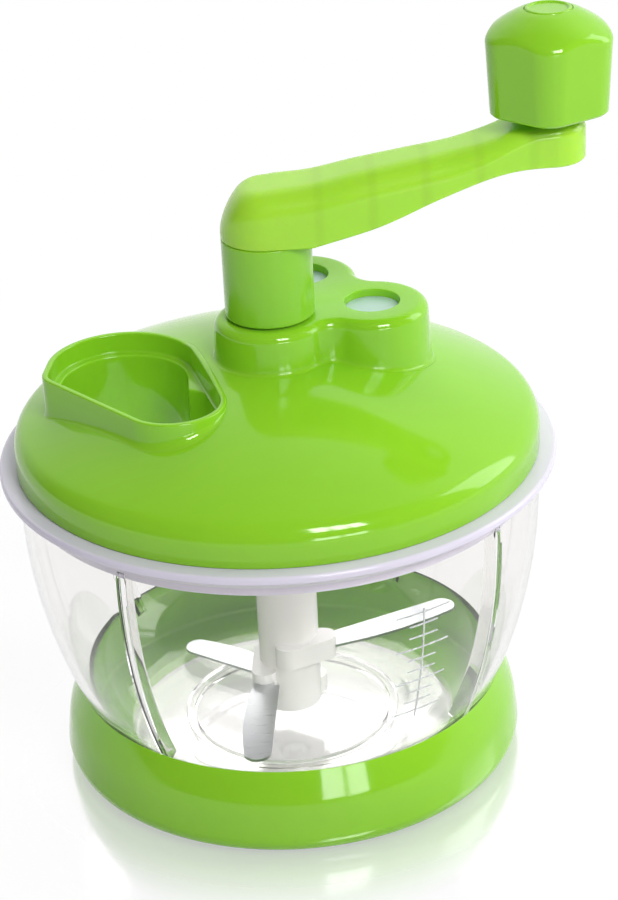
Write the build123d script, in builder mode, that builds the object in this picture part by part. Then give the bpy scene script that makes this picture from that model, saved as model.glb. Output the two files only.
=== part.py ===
"""Hand-cranked food chopper: base ring, clear bowl, geared lid with filling chute, crank and blades.

Millimetres, +Z up. The origin is on the bowl's axis, at the plane that the chopper stands on.
The crank arm points along +X. The lid holds a folded gear train: three meshes on one centre
distance, whose last gear lies under the first, so crank and blades share the bowl's axis.
"""
import os
from math import acos, atan2, cos, degrees, pi, radians, sin, sqrt, tan

from build123d import *

os.makedirs("parts", exist_ok=True)

# ---------------------------------------------------------------- driving dimensions

# base ring
base_height = 30.7
base_margin = 0.55              # base ring's top edge outside the bowl's shoulder
base_flare = 4.8                # how much wider the foot is than the top
base_foot_height = 8.0          # height of the widest place
base_wall = 2.2
base_lip = 1.3                  # thin top edge that the bowl's shoulder sits on
base_floor_thickness = 2.2
base_lip_depth = 4.5
base_toe_width = 5.5            # how far the rounded toe draws in
base_floor_width = 20.0
grip_inset = 5.2
grip_width = 5.0
grip_thickness = 2.4
grip_proud = 0.8                # how far the rubber stands below the green ring

# bowl
bowl_height = 112.6
bowl_wall = 2.8
bowl_belly_radius = 89.0        # widest outside radius
bowl_bottom = 8.95              # height of the underside
bowl_side_arc = 177.0           # radius of the long side curve
bowl_bottom_arc = 36.0          # radius of the curve into the floor
bowl_turn_angle = 23.2          # where the side curve gives way to the bottom curve
neck_gap = 0.3                  # bowl's neck inside the base ring's lip
rib_count = 4
rib_first_angle = -37.0
rib_depth = 4.5
rib_thickness = 2.0
rib_rise = 15.25                # start of the ribs above the floor
rib_drop = 8.6                  # end of the ribs below the rim
pin_boss_radius = 5.0
pin_boss_height = 3.0
foot_ring_radius = 38.0
foot_ring_width = 2.5
foot_ring_height = 3.0

# lid
flange_overhang = 6.0           # white ring beyond the bowl
flange_thickness = 3.0
dome_ledge = 5.7                # white ring beyond the dome
dome_rise = 34.8
dome_arc = 185.0                # radius of the shallow crown
dome_shoulder = 8.0             # radius between crown and skirt
dome_wall = 2.2
spigot_depth = 8.0
spigot_thickness = 2.4
spigot_gap = 0.5                # between the spigot and the bowl's bore
seal_height = 2.6
seal_gap = 0.25
plate_thickness = 2.6
screw_inset = 13.3              # screws inside the dome's skirt
screw_angles = (-72.0, 8.0, 76.0, 128.0)
screw_radius = 1.5
screw_head_radius = 3.0
screw_head_thickness = 2.0
screw_post_radius = 4.5
screw_grip = 9.0
flange_edge = 1.1               # rounding of the white ring's rim
plate_gap = 0.4                 # between the plate's raised rim and the dome's skirt
seal_groove = 1.4

# gear train
centre_distance = 35.0
wheel_teeth = 34
pinion_teeth = 22
backlash = 0.16
pressure_angle = radians(20)
face_width = 6.5
level_gap = 1.5
gear_clearance = 0.5            # round the tips of the crank wheel
hub_rise = 5.7                  # output bearing above and below the plate
hub_drop = 4.7
first_lobe_angle = 11.0
lobe_step = 60.0                # the three axes form an equal-sided triangle
axle_radius = 2.0
tooth_foot = 0.97               # how far a tooth's foot reaches into its disc
running_gap = 0.08              # radial clearance of every turning fit
journal_radius = 9.3
bearing_wall = 2.0
bearing_depth = 11.0            # length of each bearing bore
washer_thickness = 0.8
end_float = 0.3                 # play of turning pieces along their axes
wheel_rim_radius = 16.5
wheel_recess = 2.0              # hollow in the underside of each large wheel
pin_post_radius = 6.0
pin_seat_depth = 1.0            # plate left under each pin

# three-lobed gear housing on the crown
lobe_radius = 20.3              # at the foot; the sides draw in upwards
lobe_root = 16.4                # how far the lobes reach down from the dome's top
lobe_rise = 25.5                # top of the lobes above the crank wheel's underside
lobe_draft = 3.0
lobe_wall = 2.4
lobe_valley = 7.0               # fillet between two lobes
lobe_edge = 3.5                 # fillet round the top
journal_depth = 2.6             # how far the gear journals stand below the lobes

# filling chute
chute_rise = 32.2               # rim above the white ring
chute_height = 17.8             # height of the collar's wall, mostly inside the dome
chute_wall = 2.0
chute_back = (-50.5, 2.0, 26.0)         # x, y and radius of the three rounds of its outline
chute_front = (-33.3, -31.3, 17.5)
chute_corner = (-68.5, -4.0, 9.0)
throat_back = (-50.5, 2.0, 21.3)
throat_front = (-39.0, -28.0, 10.8)
throat_corner = (-68.5, -4.0, 4.3)
throat_lobe = (-33.3, -31.3, 14.4)      # round bay at the front of the throat
throat_wall = 1.8
shelf_thickness = 2.0
shelf_depth = 7.0               # the step down to the narrower throat
throat_reach = 3.6              # how far the throat stands below the plate
throat_gap = 0.4

# crank
post_radius = 15.0
post_gap = 0.7                  # air between the post and the housing
post_height = 27.4
crank_reach = 93.5
arm_end_radius = 11.9
arm_rise = 22.2                 # underside of the arm's end above the elbow's seat
arm_end_height = 13.6
arm_wall = 2.2
arm_edge = 8.0                  # rounding along the arm's top
# the arm's upper and lower lines: x from the post's back, the post's axis or the knob's axis,
# and height above the elbow's seat or above the underside of the arm's end
elbow_back = ((-0.5, 10.4), (6.5, 16.4))
elbow_line = ((2.0, 18.6), (14.0, 19.6), (30.0, 22.8), (46.0, 25.4))
reach_line = ((-19.5, 8.8), (-10.0, 12.0), (13.0, 13.1))
elbow_underline = (38.0, 6.2)
reach_underline = ((-35.5, -7.8), (-15.5, -1.2), (13.0, 0.0))
post_edge = 1.0
thrust_washer_radius = 12.5
arm_rib_pitch = 17.5
arm_rib_count = 4
arm_end_edge = 4.0
axle_boss_radius = 7.4
arm_rib_thickness = 1.6
spindle_hex = 12.0              # across flats
plug_radius = 9.0
plug_depth = 6.0
crank_screw_radius = 2.0
crank_screw_head = 4.4
crank_screw_head_thickness = 2.8
crank_screw_grip = 14.0

# knob
knob_sides = 5
knob_corner_radius = 9.0
knob_reach = 21.2               # axis to corner, at the crown
knob_gap = 2.4                  # air between the arm's end and the knob
knob_height = 33.8
knob_draft = 3.0
knob_turn = -95.0               # azimuth of one corner
knob_shrink = 1.6               # how much narrower the outline starts at the bottom
knob_wall = 2.4
crown_middle_inset = 5.7        # a point halfway down the crown, from corner and top
crown_middle_drop = 3.9
crown_overhang = 0.4            # the crown's foot, from corner and top
crown_drop = 9.1
knob_cap_edge = 0.8
knob_cap_dish = 0.5
knob_cap_dish_radius = 6.2
knob_cap_radius = 7.8
knob_cap_gap = 0.2
knob_axle_radius = 4.0
knob_head_radius = 6.4
knob_head_thickness = 2.6
knob_head_rise = 20.2           # axle's head above the knob's foot
knob_hub_radius = 8.0
knob_hub_depth = 1.4
nut_across_flats = 10.0
nut_thickness = 4.0

# blade rotor
rotor_radius = 10.7
rotor_clearance = 2.45
drive_hex = 10.0
drive_height = 9.0
drive_gap = 0.15
pin_radius = 2.5
pin_reach = 17.8                # length of the pin inside the rotor
pin_nose = 1.5
blade_thickness = 1.0
blade_names = ("blade_lower", "blade_middle", "blade_upper")
blade_width = 11.0
tang_width = 7.0                # root of the blade, inside its holder
blade_offset = 8.5              # the blades stand beside the axis, not across it
blade_taper = 3.6
blade_rises = (4.75, 15.25, 25.25)      # lower, middle and upper, above the bowl's floor
blade_tips = (52.0, 61.0, 64.0)
blade_angles = (145.0, -95.0, 25.0)
holder_height = 8.0
holder_width = 9.0
holder_reach = 14.0
holder_back = -9.0

# ---------------------------------------------------------------- derived places

wall_angle = radians(-bowl_turn_angle)
bottom_centre = (
    bowl_belly_radius - bowl_side_arc + (bowl_side_arc - bowl_bottom_arc) * cos(wall_angle),
    bowl_bottom + bowl_bottom_arc,
)
side_centre = (
    bowl_belly_radius - bowl_side_arc,
    bottom_centre[1] - (bowl_side_arc - bowl_bottom_arc) * sin(wall_angle),
)


def bowl_radius(height, inset=0.0):
    """Radius of the bowl's side curve at a height, moved inwards by inset."""
    rise = height - side_centre[1]
    return side_centre[0] + sqrt((bowl_side_arc - inset) ** 2 - rise**2)


bowl_floor = bowl_bottom + bowl_wall
rib_bottom = bowl_floor + rib_rise
rib_top = bowl_height - rib_drop
base_top_radius = bowl_radius(base_height) + base_margin
base_foot_radius = base_top_radius + base_flare
base_floor_inner_radius = base_foot_radius - base_floor_width
bowl_neck_radius = base_top_radius - base_lip - neck_gap
flange_top = bowl_height + flange_thickness
flange_radius = bowl_belly_radius + flange_overhang
dome_radius = flange_radius - dome_ledge
dome_top = flange_top + dome_rise
plate_top = bowl_height + plate_thickness
module_size = 2 * centre_distance / (wheel_teeth + pinion_teeth)
wheel_tip_radius = module_size * (wheel_teeth / 2 + 1)
hub_top = plate_top + hub_rise
hub_bottom = bowl_height - hub_drop
bottom_level = hub_top + washer_thickness + end_float
middle_level = bottom_level + face_width + level_gap
top_level = middle_level + face_width + level_gap       # underside of the crank wheel
lobe_top = top_level + lobe_rise
lobe_foot = dome_top - lobe_root
first_axis = (
    centre_distance * cos(radians(first_lobe_angle)),
    centre_distance * sin(radians(first_lobe_angle)),
)
second_axis = (
    centre_distance * cos(radians(first_lobe_angle + lobe_step)),
    centre_distance * sin(radians(first_lobe_angle + lobe_step)),
)
lobe_axes = [(0, 0), first_axis, second_axis]
journal_top = lobe_top - journal_depth
post_bottom = lobe_top + post_gap
bearing_bottom = lobe_top - bearing_depth
lobe_middle = (
    (first_axis[0] + second_axis[0]) / 3,
    (first_axis[1] + second_axis[1]) / 3,
    lobe_foot,
)
lobe_ceiling = lobe_top - lobe_wall
centre = (0, 0)
chute_rounds = (chute_back, chute_front, chute_corner)
throat_rounds = (throat_back, throat_front, throat_corner)
chute_rim = flange_top + chute_rise
chute_foot = chute_rim - chute_height
throat_exit = bowl_height - throat_reach
shelf_top = chute_rim - shelf_depth
bowl_bore = bowl_radius(bowl_height, bowl_wall)
spigot_radius = bowl_bore - spigot_gap
seal_bottom = bowl_height - (spigot_depth + seal_height) / 2
screw_circle = dome_radius - screw_inset
screw_places = [
    (screw_circle * cos(radians(angle)), screw_circle * sin(radians(angle))) for angle in screw_angles
]
rotor_top = hub_bottom - end_float
rotor_bottom = bowl_floor + rotor_clearance
pin_top = rotor_bottom + pin_reach
hub_radius = journal_radius + running_gap + bearing_wall
journal_bottom = hub_bottom
socket_top = rotor_top + drive_height + end_float
pin_seat = bowl_height + pin_seat_depth
pin_end = bearing_bottom
first_mesh = first_lobe_angle
second_mesh = first_lobe_angle + 2 * lobe_step
third_mesh = first_lobe_angle + 4 * lobe_step
half_turn = 180
half_pinion_pitch = half_turn / pinion_teeth
screw_face = top_level - washer_thickness
seam_height = post_bottom + post_height         # where the arm's elbow sits on the post
spindle_top = seam_height - plug_depth
arm_end_bottom = seam_height + arm_rise
arm_end_top = arm_end_bottom + arm_end_height
arm_top_line = [
    *[(x - post_radius, seam_height + rise) for x, rise in elbow_back],
    *[(x, seam_height + rise) for x, rise in elbow_line],
    *[(crank_reach + x, arm_end_bottom + rise) for x, rise in reach_line],
]
arm_bottom_line = [
    (post_radius, seam_height),
    (elbow_underline[0], seam_height + elbow_underline[1]),
    *[(crank_reach + x, arm_end_bottom + rise) for x, rise in reach_underline],
]
knob_axis = (crank_reach, 0)
knob_bottom = arm_end_top + knob_gap
knob_top = knob_bottom + knob_height
knob_head_height = knob_bottom + knob_head_rise
knob_seat = knob_head_height - end_float
rotor_recess_top = bowl_floor + pin_boss_height + end_float


# ---------------------------------------------------------------- profiles


def bowl_face(inset):
    """Half section of the bowl filled to its rim, every curve moved inwards by inset."""
    side = bowl_side_arc - inset
    bottom = bowl_bottom_arc - inset
    rim_run = bowl_radius(bowl_height, inset) - side_centre[0]
    rim_angle = degrees(atan2(bowl_height - side_centre[1], rim_run))
    with BuildSketch() as face:
        with BuildLine():
            upper = CenterArc(side_centre, side, -bowl_turn_angle, bowl_turn_angle + rim_angle)
            lower = CenterArc(bottom_centre, bottom, -90, 90 - bowl_turn_angle)
            Polyline(lower @ 0, (0, bottom_centre[1] - bottom), (0, bowl_height), upper @ 1)
        make_face()
    return face.sketch


def dome_face(inset, foot):
    """Half section of the filled dome: shallow crown, shoulder and skirt down to foot."""
    skirt = dome_radius - inset
    crown = dome_arc - inset
    shoulder = dome_shoulder - inset
    crown_centre = dome_top - dome_arc
    drop = sqrt((crown - shoulder) ** 2 - (skirt - shoulder) ** 2)
    turn = degrees(atan2(drop, skirt - shoulder))
    with BuildSketch() as face:
        with BuildLine():
            CenterArc((0, crown_centre), crown, turn, 90 - turn)
            CenterArc((skirt - shoulder, crown_centre + drop), shoulder, 0, turn)
            Polyline(
                (skirt, crown_centre + drop),
                (skirt, foot),
                (0, foot),
                (0, crown_centre + crown),
            )
        make_face()
    return face.sketch


def trefoil_face(inset):
    """Three joined lobes over the three gear axes, with rounded valleys."""
    with BuildSketch() as face:
        with Locations(*lobe_axes):
            Circle(lobe_radius - inset)
        with BuildLine():
            Polyline(*lobe_axes, close=True)
        make_face()
        valleys = face.vertices().sort_by_distance(lobe_middle)[:3]
        fillet(valleys, lobe_valley + inset)
    return face.sketch


def egg_face(rounds, grow=0.0):
    """Outline stretched round three circles, as a cord would lie."""
    with BuildSketch() as face:
        for x, y, radius in rounds:
            with Locations((x, y)):
                Circle(radius + grow)
        make_hull()
    return face.sketch


def throat_face(grow=0.0):
    """Outline of the filling throat: the stretched outline and its round bay."""
    with BuildSketch() as face:
        add(egg_face(throat_rounds, grow))
        with Locations(throat_lobe[:2]):
            Circle(throat_lobe[2] + grow)
    return face.sketch


def gear_face(teeth):
    """Involute gear outline with its first tooth centred on +X."""
    pitch_radius = module_size * teeth / 2
    base_radius = pitch_radius * cos(pressure_angle)
    root_radius = pitch_radius - 1.25 * module_size
    tip_radius = pitch_radius + module_size
    involute_at_pitch = tan(pressure_angle) - pressure_angle
    half_tooth = pi / (2 * teeth) - backlash / (2 * pitch_radius)

    def flank_point(radius, side):
        roll = acos(min(1.0, base_radius / radius))
        angle = side * (half_tooth + involute_at_pitch - (tan(roll) - roll))
        return (radius * cos(angle), radius * sin(angle))

    flank_start = max(base_radius, root_radius)
    radii = (flank_start, pitch_radius, tip_radius)
    lower_flank = [flank_point(radius, -1) for radius in radii]
    upper_flank = [flank_point(radius, 1) for radius in reversed(radii)]
    foot = tooth_foot * root_radius / flank_start
    with BuildSketch() as outline:
        Circle(root_radius)
        with PolarLocations(0, teeth):
            Polygon(
                (lower_flank[0][0] * foot, lower_flank[0][1] * foot),
                *lower_flank,
                *upper_flank,
                (upper_flank[-1][0] * foot, upper_flank[-1][1] * foot),
                align=None,
            )
    return outline.sketch


def disc(place, bottom, top, radius, mode=Mode.ADD):
    """A round boss or bore between two heights."""
    with Locations((place[0], place[1], bottom)):
        Cylinder(radius, top - bottom, align=(Align.CENTER, Align.CENTER, Align.MIN), mode=mode)


def ring(place, bottom, top, outer, inner, mode=Mode.ADD):
    """A round wall or groove between two radii and two heights."""
    with BuildSketch(Plane((place[0], place[1], bottom))) as annulus:
        Circle(outer)
        Circle(inner, mode=Mode.SUBTRACT)
    extrude(annulus.sketch, amount=top - bottom, mode=mode)


def hexagon(place, bottom, top, across_flats, mode=Mode.ADD):
    """A six-sided rod or socket between two heights."""
    with BuildSketch(Plane((place[0], place[1], bottom))) as flats:
        RegularPolygon(across_flats / 2, 6, major_radius=False)
    extrude(flats.sketch, amount=top - bottom, mode=mode)


def toothed(outline, place, level, first_tooth):
    """A toothed disc on an axis, turned until its first tooth points at an angle."""
    with BuildSketch(Plane((place[0], place[1], level))) as profile:
        add(outline, rotation=first_tooth)
    extrude(profile.sketch, amount=face_width)


wheel_outline = gear_face(wheel_teeth)
pinion_outline = gear_face(pinion_teeth)

# ---------------------------------------------------------------- base ring and its rubber

base_floor_top = grip_proud + grip_thickness + base_floor_thickness
grip_outer = base_foot_radius - grip_inset

with BuildPart() as base_ring:
    with BuildSketch(Plane.XZ):
        with BuildLine():
            side = Line((base_top_radius, base_height), (base_foot_radius, base_foot_height))
            toe = TangentArc(side @ 1, (base_foot_radius - base_toe_width, grip_proud), tangent=side % 1)
            Polyline(
                toe @ 1,
                (base_floor_inner_radius, grip_proud),
                (base_floor_inner_radius, base_floor_top),
                (base_foot_radius - base_wall, base_floor_top),
                (base_top_radius - base_lip, base_height - base_lip_depth),
                (base_top_radius - base_lip, base_height),
                side @ 0,
            )
        make_face()
    revolve(axis=Axis.Z)
    with BuildSketch(Plane.XY.offset(grip_proud)):
        Circle(grip_outer)
        Circle(grip_outer - grip_width, mode=Mode.SUBTRACT)
    extrude(amount=grip_thickness, mode=Mode.SUBTRACT)
base_ring.part.label = "base_ring"
export_step(base_ring.part, "parts/base_ring.step")

with BuildPart() as grip_ring:
    with BuildSketch():
        Circle(grip_outer)
        Circle(grip_outer - grip_width, mode=Mode.SUBTRACT)
    extrude(amount=grip_thickness + grip_proud)
grip_ring.part.label = "grip_ring"
export_step(grip_ring.part, "parts/grip_ring.step")

# ---------------------------------------------------------------- bowl and its pin

with BuildPart() as bowl_rib:
    with BuildSketch(Plane.XZ):
        add(bowl_face(bowl_wall / 2))
        add(bowl_face(bowl_wall + rib_depth), mode=Mode.SUBTRACT)
        with Locations((bowl_belly_radius / 2, (rib_bottom + rib_top) / 2)):
            Rectangle(bowl_belly_radius, rib_top - rib_bottom, mode=Mode.INTERSECT)
    extrude(amount=rib_thickness / 2, both=True)

with BuildPart() as bowl:
    with BuildSketch(Plane.XZ):
        add(bowl_face(0))
    revolve(axis=Axis.Z)
    disc(centre, bowl_floor - bowl_wall - foot_ring_height, bowl_floor, foot_ring_radius)
    disc(
        centre,
        bowl_floor - bowl_wall - foot_ring_height,
        bowl_floor - bowl_wall,
        foot_ring_radius - foot_ring_width,
        Mode.SUBTRACT,
    )
    with BuildSketch(Plane.XZ):
        add(bowl_face(bowl_wall))
    revolve(axis=Axis.Z, mode=Mode.SUBTRACT)
    ring(centre, 0, base_height, bowl_belly_radius, bowl_neck_radius, Mode.SUBTRACT)
    with PolarLocations(0, rib_count, start_angle=rib_first_angle):
        add(bowl_rib.part)
    disc(centre, bowl_floor - bowl_wall / 2, bowl_floor + pin_boss_height, pin_boss_radius)
    disc(centre, bowl_floor - bowl_wall / 2, bowl_floor + pin_boss_height, pin_radius, Mode.SUBTRACT)
bowl.part.label = "bowl"
export_step(bowl.part, "parts/bowl.step")

with BuildPart() as pivot_pin:
    disc(centre, bowl_floor - bowl_wall / 2, pin_top, pin_radius)
    fillet(pivot_pin.edges().sort_by(Axis.Z)[-1], pin_nose)
pivot_pin.part.label = "pivot_pin"
export_step(pivot_pin.part, "parts/pivot_pin.step")

# ---------------------------------------------------------------- lid: green dome

with BuildPart() as screw_posts:
    for place in screw_places:
        disc(place, plate_top, dome_top, screw_post_radius)
    with BuildSketch(Plane.XZ):
        add(dome_face(dome_wall / 2, bowl_height))
    revolve(axis=Axis.Z, mode=Mode.INTERSECT)

with BuildPart() as lid_dome:
    with BuildSketch(Plane.XZ):
        add(dome_face(0, flange_top))
    revolve(axis=Axis.Z)
    with BuildSketch(Plane.XY.offset(lobe_foot)):
        add(trefoil_face(0))
    extrude(amount=lobe_top - lobe_foot, taper=lobe_draft)
    fillet(lid_dome.faces().sort_by(Axis.Z)[-1].edges(), lobe_edge)
    # hollow under the crown and inside the lobes
    with BuildSketch(Plane.XZ):
        add(dome_face(dome_wall, flange_top))
    revolve(axis=Axis.Z, mode=Mode.SUBTRACT)
    with BuildSketch(Plane.XY.offset(lobe_foot)):
        add(trefoil_face(lobe_wall))
    extrude(amount=lobe_ceiling - lobe_foot, taper=lobe_draft, mode=Mode.SUBTRACT)
    # the chute's collar, open at the top
    with BuildSketch(Plane.XY.offset(chute_foot)):
        add(egg_face(chute_rounds))
    extrude(amount=chute_rim - chute_foot)
    with BuildSketch(Plane.XY.offset(chute_foot)):
        add(egg_face(chute_rounds, -chute_wall))
    extrude(amount=dome_top - chute_foot, mode=Mode.SUBTRACT)
    # room for the tips of the crank wheel beside the collar
    disc(
        centre,
        chute_foot,
        top_level + face_width + gear_clearance,
        wheel_tip_radius + gear_clearance,
        Mode.SUBTRACT,
    )
    # bearing bores for the crank spindle and the two gear journals
    for place in lobe_axes:
        disc(place, bearing_bottom, lobe_ceiling, journal_radius + bearing_wall)
        disc(place, bearing_bottom, lobe_top, journal_radius + running_gap, Mode.SUBTRACT)
    # step inside the chute and the narrower throat below it
    with BuildSketch(Plane.XY.offset(shelf_top - shelf_thickness)):
        add(egg_face(chute_rounds, -chute_wall / 2))
    extrude(amount=shelf_thickness)
    with BuildSketch(Plane.XY.offset(throat_exit)):
        add(throat_face(throat_wall))
    extrude(amount=shelf_top - throat_exit)
    with BuildSketch(Plane.XY.offset(throat_exit)):
        add(throat_face())
    extrude(amount=dome_top - throat_exit, mode=Mode.SUBTRACT)
    # posts that take the screws from below
    add(screw_posts.part)
    for place in screw_places:
        disc(place, plate_top, plate_top + screw_grip, screw_radius, Mode.SUBTRACT)
lid_dome.part.label = "lid_dome"
export_step(lid_dome.part, "parts/lid_dome.step")

# ---------------------------------------------------------------- lid: white plate, seal, screws

with BuildPart() as lid_plate:
    disc(centre, bowl_height, flange_top, flange_radius)
    fillet(lid_plate.edges(), flange_edge)
    disc(centre, plate_top, flange_top, dome_radius - dome_wall - plate_gap, Mode.SUBTRACT)
    ring(centre, bowl_height - spigot_depth, plate_top, spigot_radius, spigot_radius - spigot_thickness)
    ring(
        centre,
        seal_bottom,
        seal_bottom + seal_height,
        spigot_radius,
        spigot_radius - seal_groove,
        Mode.SUBTRACT,
    )
    disc(centre, hub_bottom, hub_top, hub_radius)
    disc(centre, hub_bottom, hub_top, journal_radius + running_gap, Mode.SUBTRACT)
    disc(first_axis, bowl_height, middle_level - end_float, pin_post_radius)
    disc(second_axis, bowl_height, bottom_level - end_float, pin_post_radius)
    for place in (first_axis, second_axis):
        disc(place, pin_seat, top_level, axle_radius, Mode.SUBTRACT)
    with BuildSketch(Plane.XY.offset(bowl_height - spigot_depth)):
        add(throat_face(throat_wall + throat_gap))
    extrude(amount=spigot_depth + flange_thickness, mode=Mode.SUBTRACT)
    for place in screw_places:
        disc(place, bowl_height, plate_top, screw_radius, Mode.SUBTRACT)
lid_plate.part.label = "lid_plate"
export_step(lid_plate.part, "parts/lid_plate.step")

with BuildPart() as lid_seal:
    ring(
        centre,
        seal_bottom,
        seal_bottom + seal_height,
        bowl_bore - seal_gap,
        spigot_radius - seal_groove,
    )
lid_seal.part.label = "lid_seal"
export_step(lid_seal.part, "parts/lid_seal.step")

with BuildPart() as lid_screws:
    for place in screw_places:
        disc(place, bowl_height - screw_head_thickness, bowl_height, screw_head_radius)
        disc(place, bowl_height, plate_top + screw_grip, screw_radius)
lid_screws.part.label = "lid_screws"
export_step(lid_screws.part, "parts/lid_screws.step")

# ---------------------------------------------------------------- gear train

for letter, place in (("a", first_axis), ("b", second_axis)):
    with BuildPart() as idler_pin:
        disc(place, pin_seat, pin_end, axle_radius)
    idler_pin.part.label = f"idler_pin_{letter}"
    export_step(idler_pin.part, f"parts/idler_pin_{letter}.step")

with BuildPart() as crank_gear:
    toothed(wheel_outline, centre, top_level, first_mesh)
    disc(centre, top_level, journal_top, journal_radius)
    ring(centre, top_level, top_level + wheel_recess, wheel_rim_radius, journal_radius, Mode.SUBTRACT)
    hexagon(centre, top_level, journal_top, spindle_hex, Mode.SUBTRACT)
crank_gear.part.label = "crank_gear"
export_step(crank_gear.part, "parts/crank_gear.step")

idler_steps = (
    ("a", first_axis, middle_level, second_mesh, first_mesh + half_turn + half_pinion_pitch),
    ("b", second_axis, bottom_level, third_mesh, second_mesh + half_turn + half_pinion_pitch),
)
for letter, place, wheel_level, wheel_tooth, pinion_tooth in idler_steps:
    pinion_level = wheel_level + face_width + level_gap
    with BuildPart() as idler_gear:
        toothed(wheel_outline, place, wheel_level, wheel_tooth)
        disc(place, wheel_level + face_width, pinion_level, journal_radius)
        toothed(pinion_outline, place, pinion_level, pinion_tooth)
        disc(place, pinion_level, journal_top, journal_radius)
        ring(
            place, wheel_level, wheel_level + wheel_recess, wheel_rim_radius, journal_radius, Mode.SUBTRACT
        )
        disc(place, wheel_level, pin_end + end_float, axle_radius + running_gap, Mode.SUBTRACT)
    idler_gear.part.label = f"idler_gear_{letter}"
    export_step(idler_gear.part, f"parts/idler_gear_{letter}.step")

with BuildPart() as output_gear:
    toothed(pinion_outline, centre, bottom_level, third_mesh + half_turn + half_pinion_pitch)
    disc(centre, journal_bottom, bottom_level, journal_radius)
    hexagon(centre, journal_bottom, socket_top, drive_hex + 2 * drive_gap, Mode.SUBTRACT)
output_gear.part.label = "output_gear"
export_step(output_gear.part, "parts/output_gear.step")

with BuildPart() as output_washer:
    ring(centre, hub_top, hub_top + washer_thickness, hub_radius, journal_radius + running_gap)
output_washer.part.label = "output_washer"
export_step(output_washer.part, "parts/output_washer.step")

# ---------------------------------------------------------------- crank

with BuildPart() as crank_spindle:
    hexagon(centre, top_level, spindle_top, spindle_hex)
    disc(centre, top_level, top_level + crank_screw_grip, crank_screw_radius, Mode.SUBTRACT)
crank_spindle.part.label = "crank_spindle"
export_step(crank_spindle.part, "parts/crank_spindle.step")

with BuildPart() as crank_washer:
    ring(centre, top_level - washer_thickness, top_level, journal_radius, crank_screw_radius)
crank_washer.part.label = "crank_washer"
export_step(crank_washer.part, "parts/crank_washer.step")

with BuildPart() as crank_screw:
    disc(centre, screw_face - crank_screw_head_thickness, screw_face, crank_screw_head)
    disc(centre, screw_face, top_level + crank_screw_grip, crank_screw_radius)
crank_screw.part.label = "crank_screw"
export_step(crank_screw.part, "parts/crank_screw.step")

with BuildPart() as thrust_washer:
    disc(centre, lobe_top + running_gap, post_bottom, thrust_washer_radius)
    hexagon(centre, lobe_top, post_bottom, spindle_hex, Mode.SUBTRACT)
thrust_washer.part.label = "thrust_washer"
export_step(thrust_washer.part, "parts/thrust_washer.step")

with BuildPart() as crank_post:
    disc(centre, post_bottom, seam_height, post_radius)
    fillet(crank_post.edges().sort_by(Axis.Z)[0], post_edge)
    hexagon(centre, post_bottom, spindle_top, spindle_hex, Mode.SUBTRACT)
    disc(centre, seam_height - plug_depth, seam_height, plug_radius, Mode.SUBTRACT)
crank_post.part.label = "crank_post"
export_step(crank_post.part, "parts/crank_post.step")


def arm_blank(inset, foot):
    """The arm's outer form, or its hollow when inset, from a foot line up to its rounded top."""
    with BuildPart() as blank:
        with BuildSketch(Plane.XZ.offset(-post_radius)) as side_view:
            with BuildLine() as outline:
                top = Spline(*[(x, z - inset) for x, z in arm_top_line])
                bottom = Spline(*[(x, z - foot) for x, z in arm_bottom_line])
                Polyline(top @ 0, (arm_top_line[0][0], seam_height - foot), bottom @ 0)
                Line(top @ 1, bottom @ 1)
            make_face(outline.edges())
        extrude(side_view.sketch, amount=2 * post_radius)
        with BuildSketch(Plane.XY.offset(seam_height - foot)) as plan:
            Circle(post_radius - inset)
            with Locations(knob_axis):
                Circle(arm_end_radius - inset)
            make_hull()
        extrude(plan.sketch, amount=knob_top - seam_height, mode=Mode.INTERSECT)
        upper = blank.faces().filter_by(lambda face: face.normal_at().Z > 0.8)
        fillet(upper.edges(), arm_edge - inset)
    return blank.part


with BuildPart() as arm_hollow:
    add(arm_blank(arm_wall, arm_wall))
    for step in range(1, arm_rib_count + 1):
        with Locations((step * arm_rib_pitch, 0, seam_height)):
            Box(arm_rib_thickness, 2 * post_radius, 2 * crank_reach, mode=Mode.SUBTRACT)
    disc(centre, seam_height - arm_wall, knob_top, plug_radius, Mode.SUBTRACT)

with BuildPart() as arm_end:
    disc(knob_axis, arm_end_bottom, arm_end_top, arm_end_radius)
    fillet(arm_end.edges().sort_by(Axis.Z)[-1], arm_end_edge)

with BuildPart() as crank_arm:
    add(arm_blank(0, 0))
    add(arm_hollow.part, mode=Mode.SUBTRACT)
    disc(centre, seam_height - plug_depth, seam_height + arm_wall, plug_radius)
    add(arm_end.part)
    disc(knob_axis, arm_end_top, knob_top, arm_end_radius, Mode.SUBTRACT)
    ring(
        knob_axis,
        arm_end_bottom,
        arm_end_top - arm_wall,
        arm_end_radius - arm_wall,
        axle_boss_radius,
        Mode.SUBTRACT,
    )
    disc(knob_axis, arm_end_bottom, arm_end_top, knob_axle_radius, Mode.SUBTRACT)
    hexagon(knob_axis, arm_end_bottom, arm_end_bottom + nut_thickness, nut_across_flats, Mode.SUBTRACT)
crank_arm.part.label = "crank_arm"
export_step(crank_arm.part, "parts/crank_arm.step")

# ---------------------------------------------------------------- knob

with BuildPart() as axle_nut:
    hexagon(knob_axis, arm_end_bottom, arm_end_bottom + nut_thickness, nut_across_flats)
    disc(knob_axis, arm_end_bottom, arm_end_bottom + nut_thickness, knob_axle_radius, Mode.SUBTRACT)
axle_nut.part.label = "axle_nut"
export_step(axle_nut.part, "parts/axle_nut.step")

with BuildPart() as knob_axle:
    disc(knob_axis, arm_end_bottom, knob_head_height, knob_axle_radius)
    disc(knob_axis, knob_head_height, knob_head_height + knob_head_thickness, knob_head_radius)
knob_axle.part.label = "knob_axle"
export_step(knob_axle.part, "parts/knob_axle.step")

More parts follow.
